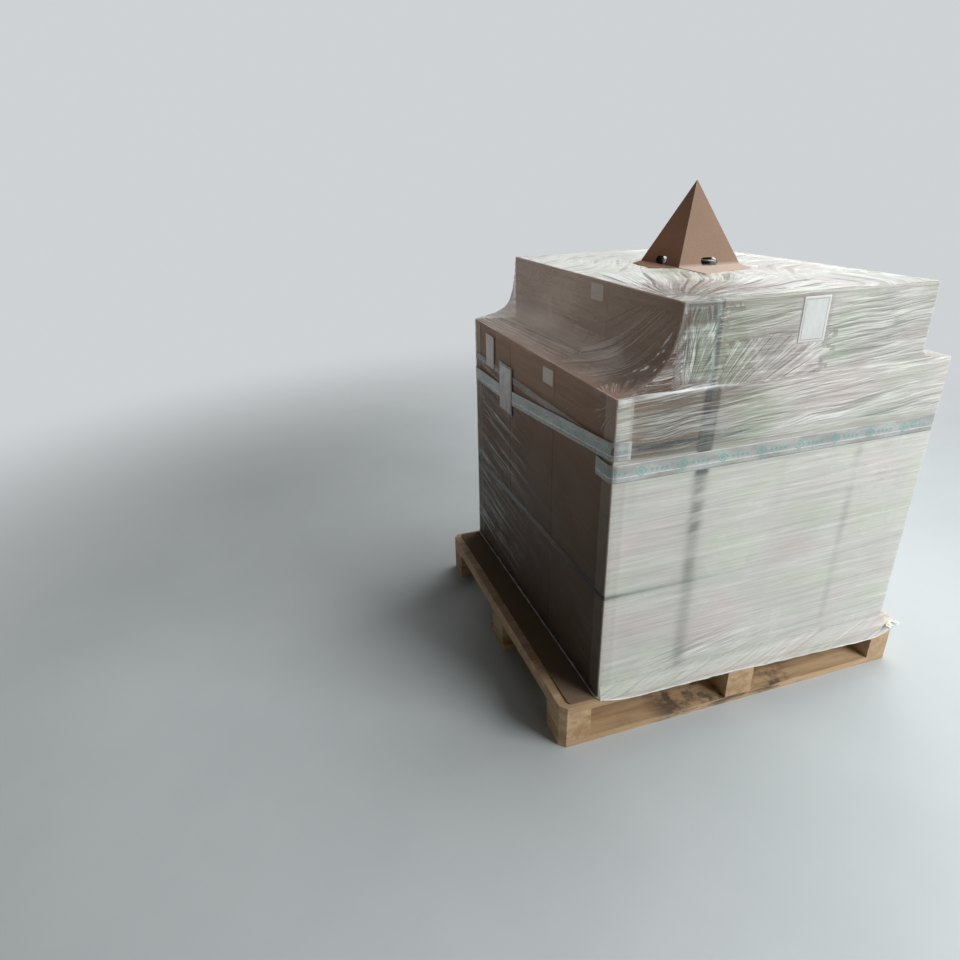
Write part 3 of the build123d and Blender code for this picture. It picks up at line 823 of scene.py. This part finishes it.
# Where tape and papers hold the film
def tape_height(x, y, side):
    """Height of the tape's middle line where it crosses a wall, and of its second end on the left."""
    front = np.interp(x, [wall_left, wall_right], [TAPE_START, TAPE_NEAR_RIGHT])
    right = np.interp(y, [-wall_depth, wall_depth], [TAPE_NEAR_RIGHT, TAPE_FAR_RIGHT])
    back = np.interp(x, [wall_left, wall_right], [TAPE_FAR_LEFT, TAPE_FAR_RIGHT])
    climb = [-wall_depth, climb_way - wall_depth, wall_depth]
    left = np.interp(y, climb, [TAPE_END, TAPE_CLIMB, TAPE_FAR_LEFT])
    return np.choose(side, [front, right, back, left])


def pressed(x, y, z, side):
    """1 where tape or a label holds the walls' film flat."""
    middle, half = tape_height(x, y, side), 30 * MM
    held = window(z, middle - half, middle + half, 0.006)
    start = window(z, TAPE_START - half, TAPE_START + half, 0.006) * (side == 3) * (y < 0.1 - wall_depth)
    end = window(z, TAPE_END - half, TAPE_END + half, 0.006) * (side == 0) * (x < wall_left + 0.07)
    held = np.maximum(held, np.maximum(start, end))
    for number, way, centre, half, low, high in (
        (0, x, 0.0405, 0.05, 1.105, 1.235), (3, y, 0.357, 0.05, 0.88, 1.01), (3, y, 0.198, 0.07, 0.76, 0.945),
    ):
        paper = window(way, centre - half, centre + half, 0.008) * window(z, low, high, 0.008)
        held = np.maximum(held, paper * (side == number))
    return held


# The film's mesh
def film_walls():
    """Rings of the walls and the roof, as points, uv, way over the film from the ledge, side numbers and
    a flag for the roof."""
    steps = side_steps()
    wide, side = outline(steps, wall_left, wall_right, wall_depth)
    narrow = outline(steps, top_left, top_right, top_depth)[0]
    around = np.concatenate([[0], np.cumsum(np.linalg.norm(np.diff(wide, axis=0), axis=1))])
    rings, uvs = [], []

    def add_ring(points, z, run):
        rings.append(np.column_stack([points, np.full(len(points), z)]))
        uvs.append(np.column_stack([around, run]))

    for z in np.arange(sheet_top + 0.3 * MM, ledge_z, 4.6 * MM):
        add_ring(wide, z, np.full(len(wide), z))
    for t in np.linspace(0, 1, 58):
        z = ledge_z + tent_tall * t**2.2
        ring = narrow + tent_share(z - ledge_z, wide)[:, None] * (wide - narrow)
        gone = np.linalg.norm(np.column_stack([ring, np.full(len(ring), z)]) - rings[-1], axis=1)
        add_ring(ring, z, uvs[-1][:, 1] + gone)
    for turn in np.radians((25, 50, 75)):
        inset = roof_round * (1 - math.cos(turn))
        ring = outline(steps, top_left + inset, top_right - inset, top_depth - inset)[0]
        add_ring(ring, roof_z - roof_round * (1 - math.sin(turn)), uvs[-1][:, 1] + 2 * MM)
    wall_rings = len(rings)
    middle = np.array([(top_left + top_right) / 2, 0.0])
    edge = outline(steps, top_left + roof_round, top_right - roof_round, top_depth - roof_round)[0]
    for share in np.linspace(1, 0.02, 46):
        ring = middle + (edge - middle) * share
        add_ring(ring, roof_z, ring[:, 1])
        uvs[-1][:, 0] = ring[:, 0] + 9.0
    grid, uv = np.array(rings), np.array(uvs)
    sides = np.tile(side, (len(rings), 1))
    roofs = np.arange(len(rings))[:, None] + 0 * sides >= wall_rings
    arc = uv[..., 1] - ledge_z
    level = (sides % 2 == 0) & ~roofs
    uv[..., 1] = np.where(level, grid[..., 2], uv[..., 1])
    return grid, uv, arc, sides, roofs


def ring_normals(grid):
    """Outward directions of a grid of rings, from the directions along and across them."""
    along = np.roll(grid, -1, axis=1) - np.roll(grid, 1, axis=1)
    normal = np.cross(along, np.gradient(grid, axis=0))
    return normal / np.maximum(np.linalg.norm(normal, axis=2, keepdims=True), 1e-12)


def fold_places(x, y, z, arc, side, roof):
    """Where each point lies across and along the sharp folds of its own region, and how strong they are."""
    front, left = (side == 0) & ~roof, (side == 3) & ~roof
    bend = noise(x * 11, z * 13, 301)
    branch = noise(x * 27, z * 17, 309)
    high = window(z, ledge_z + 0.002, 1.233, 0.02)
    woven = window(x - 0.4 * (z - 1.03), -0.6, 0.16, 0.14) * window(z, 1.0, 1.17, 0.05)
    woven = woven * rise(x - 0.25 * (z - 1.03), -0.226, 0.012)
    near = window(y, -0.6, -0.06, 0.2) * window(arc, -0.006, 0.27, 0.03)
    off_strap = 1 - window(z, level_middle - 0.018, level_middle + 0.018, 0.006)
    low = window(z, 0.05, 0.93, 0.12) * (0.12 + 0.88 * window(y, -0.05, 0.7, 0.3)) * off_strap
    pull, ledge_corner, web = side_pull(y, arc), polar(y + wall_depth, arc + 0.01), web_spread(x, z)
    roof_corner, (lie_along, lie_across, _) = roof_spread(x, y), roof_lie(x, y)
    sway = 0.8 * noise(pull[0] * 4, pull[1] * 7, 303)
    swirl = 1.1 * noise(roof_corner[1] * 6, roof_corner[0] * 2.4, 305)

    def rays(centre, turns, reaches, sway=0.0):
        """Places across and along folds that spread from a centre, given as angle and reach."""
        return centre[0] * turns + sway, centre[1] * reaches

    regions = (
        (front, 0.95 * window(x, -0.336, -0.232, 0.01) * high,
         *rays(polar(z - 0.985, x + 0.312), 30, 11, 1.8 * bend + 2.0 * branch)),
        (front, 0.45 * window(x, -0.236, -0.15, 0.02) * high, (x + 0.6 * z) * 85 + bend + branch, z * 8),
        (front, 0.85 * woven, *rays(polar(x + 0.3, z - 0.906), 62, 4, 0.5 * bend)),
        (front, 0.55 * window(z, 0.865, 1.233, 0.03), (z - 0.1 * x) * 130 + 0.6 * bend, x * 3),
        (front, 0.5 * window(z, 0.1, 0.34, 0.12) * window(x, -0.47, 0.2, 0.3), (z - 0.22 * x) * 95, x * 3),
        (left, 0.5 * near, *rays(pull, 46, 2.2, sway)),
        (left, 0.55 * window(arc, -0.012, 0.1, 0.02) * (1 - near), arc * 125 + y * 3.5, y * 1.3),
        (left, 1.35 * low, (z - 0.12 * y) * 140 + 0.4 * noise(y * 7, z * 9, 313), y * 2.2),
        (left, 0.75 * window(ledge_corner[1], 0.0, 0.13, 0.04), *rays(ledge_corner, 12, 6)),
        (front, 0.8 * corner_web(x, z), (z - 0.1 * x) * 118 + 0.7 * bend, x * 5),
        (front, 0.9 * corner_web(x, z) * window(web[1], 0.0, 0.075, 0.02), *rays(web, 8, 6)),
        (roof, 1.05 * window(roof_corner[1], 0.015, 0.62, 0.2), *rays(roof_corner, 22, 3, swirl)),
        (roof, 0.5, lie_across * 34, lie_along * 4),
    )
    across, along, strong = (z - 0.05 * x) * 85, (x + y) * 1.6, np.full(x.shape, 0.12)
    jitter = 1 + 0.35 * noise(x * 34 + y * 34, z * 46, 311)
    for where, strength, fold_across, fold_along in regions:
        chosen = where & (strength * jitter > strong)
        across = np.where(chosen, fold_across, across)
        along = np.where(chosen, fold_along, along)
        strong = np.where(chosen, strength, strong)
    return across, along, strong


def front_tints(x, z):
    """How green and how brown the front is."""
    green = (
        line(x, -0.19, 0.055) * window(z, 1.01, 1.24, 0.04)
        + 0.7 * line(x, -0.1, 0.08) * window(z, 0.865, 1.03, 0.03)
        + 0.6 * line(x, 0.13, 0.05) * window(z, 1.02, 1.2, 0.06)
        + 0.8 * window(x, -0.325, -0.225, 0.02) * window(z, 1.04, 1.24, 0.03)
    )
    brown = 0.15 * brown_window(x) * window(z, 0.86, 1.03, 0.01)
    # The web's brown goes with its painted shade
    return np.clip(green, 0, 1), np.maximum(corner_web(x, z), brown)


FILM_VALUES = ("haze", "streak", "crease", "shade", "fold", "green", "warm")


def film_body():
    """Points, faces, both uv maps and the film's values of the walls and the roof."""
    grid, uv, arc, side, roof = film_walls()
    x, y, z = grid[..., 0], grid[..., 1], grid[..., 2]

    def by_side(*kinds):
        """Each point's values from those of the front, right, back, left and roof."""
        return (np.where(roof, values[4], np.choose(side, values[:4])) for values in zip(*kinds))

    back, web = front_folds(x, z), corner_web(x, z)
    front = [plain * (1 - web) + other * web for plain, other in zip(back, web_folds(x, z))]
    right, left = side_folds(y * 0.97 + 0.31, z, arc), side_folds(y, z, arc)
    lift, crease = by_side(front, right, back, left, roof_folds(x, y))
    free = 1 - pressed(x, y, z, side) * ~roof
    lift, crease = lift * free, crease * (0.3 + 0.7 * free)
    front, right = front_haze(x, z), (0.6 + 0.06 * noise(y * 4, z * 4, 135), 0.16)
    haze, streak = by_side(front, right, front, left_haze(y, z), roof_haze(x, y))
    haze = haze + 0.16 * np.exp(-np.clip(z - sheet_top, 0, 1) / 0.012)
    corner_shade = 0.52 * window(roof_spread(x, y)[1], -0.1, 0.3, 0.18)
    none = (0.0, 0.0, 0.0)
    # On the left: painted shade, and warm 1 for a brown tint of painted reflection and shade
    front, left = (front_shade(x, z), *front_tints(x, z)), (left_shade(z), 0.0, 1.0)
    shade, green, warm = by_side(front, none, none, left, (corner_shade, 0.0, 0.0))
    moved = grid + ring_normals(grid) * lift[..., None]
    across, along, fold = fold_places(x, y, z, arc, side, roof)
    values = [value.ravel() for value in (haze, streak, crease, shade, fold * free, green, warm)]
    fold_uv = np.column_stack([across.ravel(), along.ravel()])
    return moved.reshape(-1, 3), grid_faces(*side.shape, closed=True), uv.reshape(-1, 2), fold_uv, values


# Lower edge of the skirts: place along x, and drop under the deck's top in millimetres
HEM = ((-0.482, 0), (-0.44, 8), (-0.39, 17), (-0.04, 20), (0.05, 27), (0.48, 42), (0.55, 36), (0.592, 9))
skirt_start, skirt_end = HEM[0][0], HEM[-1][0]


def hem_drop(x):
    return np.interp(x, [place for place, _ in HEM], [drop * MM for _, drop in HEM])


def film_skirt(way):
    """The film that hangs over the deck's front or back edge, from the wall out over the rim and down."""
    x, t = np.meshgrid(np.arange(skirt_start, skirt_end + MM, 10 * MM), np.linspace(0, 1, 20))
    ragged = noise(x * 40, 0, 81) + noise(x * 95, 0, 82)
    drop = hem_drop(x) + np.minimum(hem_drop(x) * 0.3, 2.6 * MM) * ragged
    out = np.interp(t, [0, 0.65, 1], [0, 1, 1]) ** 1.4
    y = wall_depth + 0.5 * MM + (abs(cad_low.y) - 0.3 * MM - wall_depth) * out
    slope = np.interp(t, [0, 0.65], [0.058, 0.001]) * np.interp(x, [wall_right, skirt_end], [1.0, 0.15])
    z = deck_top + slope - rise(t, 0.65, 0.35) * drop
    wave = folds(x * 16 + t * 2.5, t * 1.2, 83, 2)
    y = y + rise(t, 0.3, 0.7) * 2.2 * MM * wave
    points = np.stack([x, y * way, z], axis=-1).reshape(-1, 3)
    uv = np.column_stack([x.ravel() + 5, z.ravel() + 0.4 * y.ravel()])
    haze = rise(t, 0, 0.25) * (0.66 + 0.14 * np.clip(t - 0.8, 0, 1)) + 0.12 * rise(x, 0.35, 0.2) * t
    faces = [face[::-way] for face in grid_faces(*x.shape)]
    fold_uv = np.column_stack([(t + 4.5 * x).ravel() * 5, x.ravel() * 4])
    none = np.zeros(x.size)
    crease = (0.16 * t * crest(wave, 0.35, 0.8)).ravel()
    values = [haze.ravel(), none + 0.1, crease, none, none + 0.35, none, none]
    return points, faces, uv, fold_uv, values


def add_film():
    points, faces, uvs, fold_uvs, values = zip(film_body(), film_skirt(-1), film_skirt(1))
    film = add_mesh("film", *join_parts(points, faces))
    set_uv(film.data, "film", np.concatenate(uvs))
    set_uv(film.data, "folds", np.concatenate(fold_uvs))
    for name, parts in zip(FILM_VALUES, zip(*values)):
        set_value(film.data, name, np.concatenate(parts))
    film.data.materials.append(film_finish)
    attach(film, "root")
    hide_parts("stretch_wrap")


add_film()


def tube(path, radius, seed, sides):
    """Rings of points of a lumpy, twisted tube along a path."""
    ahead = np.gradient(path, axis=0)
    ahead /= np.linalg.norm(ahead, axis=1, keepdims=True)
    side = np.cross(ahead, (0, 0, 1.0))
    side /= np.maximum(np.linalg.norm(side, axis=1, keepdims=True), 1e-9)
    top = np.cross(side, ahead)
    run = np.arange(len(path))
    points = []
    for step in range(sides):
        angle = 2 * math.pi * step / sides
        swell = 1 + 0.35 * noise(run * 0.21 + 3 * step, run * 0.05 + step * 7.3, seed)
        wide = radius * swell * (1 + 0.3 * np.cos(2 * (angle + run * 0.35)))
        across, up = (wide * math.cos(angle))[:, None], (wide * math.sin(angle))[:, None]
        points.append(path + side * across + top * up)
    return np.stack(points, axis=1)


def add_film_tubes(name, tubes, uvs, **values):
    """One piece of gathered film made of tubes, with the same haze, streaks and creases all over."""
    points = [rings.reshape(-1, 3) for rings in tubes]
    faces = [grid_faces(*rings.shape[:2], closed=True) for rings in tubes]
    piece = add_mesh(name, *join_parts(points, faces))
    set_uv(piece.data, "film", np.concatenate(uvs))
    for value, number in values.items():
        set_value(piece.data, value, np.full(len(piece.data.vertices), number))
    piece.data.materials.append(film_finish)
    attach(piece, "root")


def add_hem():
    """Rolled hem of the film: a bead round its foot, and down along the skirts' lower edges."""
    gap, step, sides = 3 * MM, 8 * MM, 9
    foot, edge = deck_top + 7.5 * MM, abs(cad_low.y) + 0.5 * MM
    tubes, uvs = [], []
    for way, seed in ((-1, 91), (1, 93)):
        path = [(wall_left - gap, y * way, foot) for y in np.arange(0, wall_depth, step)]
        path += [(x, way * (wall_depth + gap), foot) for x in np.arange(wall_left, skirt_start - 0.02, step)]
        skirt = np.arange(skirt_start, skirt_end, step)
        path += [(x, way * edge, deck_top - hem_drop(x) + MM) for x in skirt]
        path = np.array(path)
        for _ in range(3):
            path[1:-1] = (path[:-2] + path[1:-1] * 2 + path[2:]) / 4
        tubes.append(tube(path, 2.4 * MM, seed, sides))
        run, around = np.meshgrid(np.arange(len(path)) * step, np.arange(sides) * 3 * MM, indexing="ij")
        uvs.append(np.column_stack([run.ravel(), around.ravel()]))
    add_film_tubes("film_hem", tubes, uvs, haze=0.7, streak=0.2, crease=0.3)


def add_knots():
    """Twisted ends of the film, knotted at the pallet's right corners."""
    rng = np.random.default_rng(17)
    angle = np.linspace(0, 2 * math.pi, 22)
    flat = np.stack([np.cos(angle) - 0.6, 0.55 * np.sin(angle), 0.25 * np.sin(2 * angle)], axis=1)
    corner = (skirt_end - 17 * MM, abs(cad_low.y) - 2 * MM, deck_top + 4 * MM)
    tubes = []
    for way in (-1, 1):
        for loop in range(9):
            back = 0.0 if loop < 5 else rng.uniform(0.008, 0.045)
            base = np.array([corner[0] - back, way * corner[1], corner[2] - 0.2 * back])
            turn, tip, reach = rng.uniform(0, 2 * math.pi), rng.uniform(0.5, 1.2), rng.uniform(8, 15) * MM
            pose = np.array(Matrix.Rotation(turn, 3, "Z") @ Matrix.Rotation(tip, 3, "X"))
            path = base + reach * flat @ pose.T
            path[:, 0] = np.minimum(path[:, 0], cad_high.x + 0.004)
            path[:, 2] = base[2] + 0.6 * (path[:, 2] - base[2])
            tubes.append(tube(path, 3.4 * MM, 300 + loop, 8))
    uvs = [rings.reshape(-1, 3)[:, [0, 2]] for rings in tubes]
    add_film_tubes("film_knots", tubes, uvs, haze=0.74, streak=0.15, crease=0.4)


add_hem()
add_knots()

# Printed tape: offsets of its profile's points from the middle line and lifts off the film, in millimetres
TAPE_PROFILE = ((-24, 0.9), (-20, 0.5), (-13, 0.6), (-9.5, 2.3), (-6, 0.6),
                (2, 0.5), (12, 0.7), (20, 0.5), (24, 1.1))


def tape_route():
    """Points of the tape's middle line, a little over one turn: place, height, outward direction."""
    stand = 1.3 * MM
    left, right, depth = wall_left - stand, wall_right + stand, wall_depth + stand
    climb_y = climb_way - depth
    stops = (
        (left, 0.089 - depth, TAPE_START, (-1, 0)),
        (left, -depth, TAPE_START, (0, -1)),
        (right, -depth, TAPE_NEAR_RIGHT, (1, 0)),
        (right, depth, TAPE_FAR_RIGHT, (0, 1)),
        (left, depth, TAPE_FAR_LEFT, (-1, 0)),
        (left, climb_y, TAPE_CLIMB, (-1, 0)),
        (left, -depth, TAPE_END, (0, -1)),
        (left + 0.06, -depth, TAPE_END, (0, -1)),
    )
    route = []
    for (*start, outward), (*end, _) in zip(stops, stops[1:]):
        start, end = np.array(start), np.array(end)
        count = max(3, int(np.linalg.norm((end - start)[:2]) / (10 * MM)))
        for share in np.linspace(0, 1, count + 1)[1:-1]:
            route.append((*(start + (end - start) * share), *outward))
    return np.array(route)


def add_tape():
    route = tape_route()
    run = np.concatenate([[0], np.cumsum(np.linalg.norm(np.diff(route[:, :3], axis=0), axis=1))])
    points, uvs = [], []
    for offset, lift in TAPE_PROFILE:
        wave = noise(run * 9, offset, 101)
        edge = 1.0 if abs(offset) > 22 else 0.3
        out = lift * MM * (0.75 + 0.5 * wave) + (0.4 * MM if offset > 0 else 0)
        place = route[:, :3].copy()
        place[:, :2] += route[:, 3:] * out[:, None]
        place[:, 2] += offset * MM + edge * 0.8 * MM * wave
        points.append(place)
        uvs.append(np.column_stack([run, np.full(len(run), offset * MM)]))
    faces = [face[::-1] for face in grid_faces(len(TAPE_PROFILE), len(run))]
    tape = add_mesh("printed_tape", np.concatenate(points), faces)
    set_uv(tape.data, "tape", np.concatenate(uvs))
    tape.modifiers.new("thickness", "SOLIDIFY").thickness = 0.3 * MM
    tape.data.materials.append(tape_material())
    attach(tape, "root")
    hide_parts("tape_band")


add_tape()


# Labels outside the film
def add_sheet_piece(name, node, size, centre, side, stand, bulge, material, seed):
    """A thin rectangle with rounded waves, standing a little off the film and held flat at its rim."""
    columns, rows = 25, 31
    a, b = np.meshgrid(np.linspace(-1, 1, columns), np.linspace(-1, 1, rows))
    rim = fall(np.maximum(np.abs(a), np.abs(b)), 1, 0.25)
    out = stand + bulge * rim * (0.6 + 0.4 * noise(a * 3, b * 4, seed))
    out = out + 0.25 * MM * noise(a * 6, b * 7, seed + 1)
    u, v = a * size[0] / 2, b * size[1] / 2 + 0.4 * MM * noise(a * 2, b * 2, seed + 2)
    if side == "front":
        points = np.stack([centre[0] + u, -(top_depth + out), centre[1] + v], axis=-1)
    else:
        points = np.stack([wall_left - out, centre[0] - u, centre[1] + v], axis=-1)
    piece = add_mesh(name, points.reshape(-1, 3), grid_faces(rows, columns))
    set_uv(piece.data, "paper", np.column_stack([u.ravel(), v.ravel()]))
    piece.modifiers.new("thickness", "SOLIDIFY").thickness = 0.25 * MM
    piece.data.materials.append(material)
    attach(piece, "root")
    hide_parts(node)


framed_finish = framed_paper_material("framed_label_paper", rgb(0.66, 0.7, 0.69), rgb(0.56, 0.6, 0.59))
shaded_finish = framed_paper_material("shaded_label_paper", rgb(0.4, 0.36, 0.335), rgb(0.3, 0.265, 0.24))
add_sheet_piece("top_label", "front_label", label_size, (0.0405, 1.1685), "front", 1.1 * MM, 0.5 * MM,
                framed_finish, 151)
add_sheet_piece("ledge_label", "side_label", label_size, (0.357, 0.945), "left", 1.1 * MM, 0.5 * MM,
                shaded_finish, 161)
add_sheet_piece("papers_pouch", "document_pouch", pouch_size, (0.198, 0.854), "left", 3.2 * MM, 2.2 * MM,
                pouch_material(), 171)


def add_carton_labels():
    """Small bare labels on the cartons, under the film."""
    wide, high, thick, gap = 70 * MM, 45 * MM, 0.4 * MM, 0.02 * MM
    tier_high, carton_wide, first_middle = 219 * MM, 253.5 * MM, 126 * MM
    places = []
    for tier in range(4):
        top = sheet_top + (tier + 1) * tier_high
        for column in range(4):
            centre = lower_low.x + first_middle + column * carton_wide
            for way in (-1, 1):
                if (tier, column, way) != (3, 0, -1):
                    places.append((centre - way * 84 * MM, way * lower_high.y, top - 38 * MM, "y", way))
    places.append((lower_low.x, -lower_high.y + 390.5 * MM, top - 44 * MM, "x", -1))
    places.append((lower_high.x, -lower_high.y + 646.5 * MM, top - 44 * MM, "x", 1))
    places.append((top_low.x, -top_high.y + 411.5 * MM, top_high.z - 33 * MM, "x", -1))
    rng = np.random.default_rng(7)
    rim = np.array([(-1, -1), (0, -1), (1, -1), (1, 1), (0, 1), (-1, 1)]) * (wide / 2, high / 2)
    points, faces = [], []
    for x, y, z, axis, way in places:
        slide, tip = rng.uniform(-4, 4) * MM, rng.uniform(-0.02, 0.02)
        turn = [[math.cos(tip), math.sin(tip)], [-math.sin(tip), math.cos(tip)]]
        start = len(points)
        for depth in (way * gap, way * (thick + gap)):
            for u, v in rim @ turn + (slide, 0):
                points.append((x + u, y + depth, z + v) if axis == "y" else (x + depth, y + u, z + v))
        faces += [[start + i for i in range(6)], [start + i for i in range(11, 5, -1)]]
        for i, j in zip(range(6), (1, 2, 3, 4, 5, 0)):
            faces.append([start + i, start + 6 + i, start + 6 + j, start + j])
    labels = add_mesh("carton_labels", points, faces, smooth=False)
    # The labels' paper is coloured dim: painted shade, matched to those on the shaded left side
    labels.data.materials.append(paper_material("carton_label_paper", (0.38, 0.33, 0.29)))
    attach(labels, "root")


add_carton_labels()

# Floor, light and background
backdrop_colour = rgb(0.62, 0.645, 0.66)


def add_stage():
    n = Nodes("floor")
    colour = n.mix(n.ramp(n.noise(1.3, 4.0, 0.6), 0.3, 0.7), rgb(0.5, 0.545, 0.56), rgb(0.54, 0.585, 0.6))
    finish = n.finish(Base_Color=colour, Roughness=0.65)
    reach = n.add("VectorMath", {0: n.place((1, 1, 0))}, operation="LENGTH").outputs["Value"]
    seen = n.times(n.ramp(reach, 1.9, 4.6), n.background_rays())
    glow = n.add("Emission", {"Color": backdrop_colour, "Strength": 1.0})
    mix = n.add("MixShader", {0: seen, 1: n.shader.outputs[0], 2: glow.outputs[0]})
    n.put(n.tree.nodes["Material Output"].inputs["Surface"], mix.outputs[0])
    size = 12.0
    floor = add_mesh("floor", [(-size, -size, 0), (size, -size, 0), (size, size, 0), (-size, size, 0)],
                     [(0, 1, 2, 3)])
    floor.data.materials.append(finish)


def add_light(name, place, aim, size, power, spread=180):
    data = bpy.data.lights.new(name, "AREA")
    data.shape = "RECTANGLE"
    data.size, data.size_y = size
    data.energy = power
    data.spread = math.radians(spread)
    light = bpy.data.objects.new(name, data)
    light.location = place
    light.rotation_mode = "QUATERNION"
    light.rotation_quaternion = (Vector(aim) - Vector(place)).to_track_quat("-Z", "Y")
    light.visible_camera = False
    bpy.context.collection.objects.link(light)


def add_world():
    """Warm fill light that grows from the left to the right, behind a plain background."""
    n = Nodes("world", bpy.data.worlds)
    source = n.add("TexCoord").outputs["Generated"]
    across = n.add("SeparateXYZ", {0: source}).outputs["X"]
    strength = n.add("MapRange", {0: across, 1: -0.35, 2: 0.8, 3: 0.02, 4: 0.3}).outputs[0]
    fill = n.add("Background", {"Color": rgb(1.0, 0.94, 0.88), "Strength": strength})
    seen = n.add("Background", {"Color": backdrop_colour, "Strength": 1.0})
    mix = n.add("MixShader", {0: n.background_rays(), 1: fill.outputs[0], 2: seen.outputs[0]})
    n.put(n.tree.nodes["World Output"].inputs["Surface"], mix.outputs[0])
    bpy.context.scene.world = n.owner


add_stage()
add_light("key", (2.4, -3.4, 2.9), (0.1, 0, 0.6), (2.6, 2.0), 186)
add_light("top", (1.45, 0.4, 4.1), (0.2, 0.0, 0.9), (2.6, 2.6), 114)
add_light("left", (-1.15, 0.2, 1.22), (-0.33, 0.15, 1.14), (1.3, 0.3), 0.8, 90)
add_light("back", (3.0, 3.3, 0.75), (0.2, 0.3, 0.7), (2.2, 1.1), 55)
add_world()
bpy.context.scene.view_settings.view_transform = "Standard"
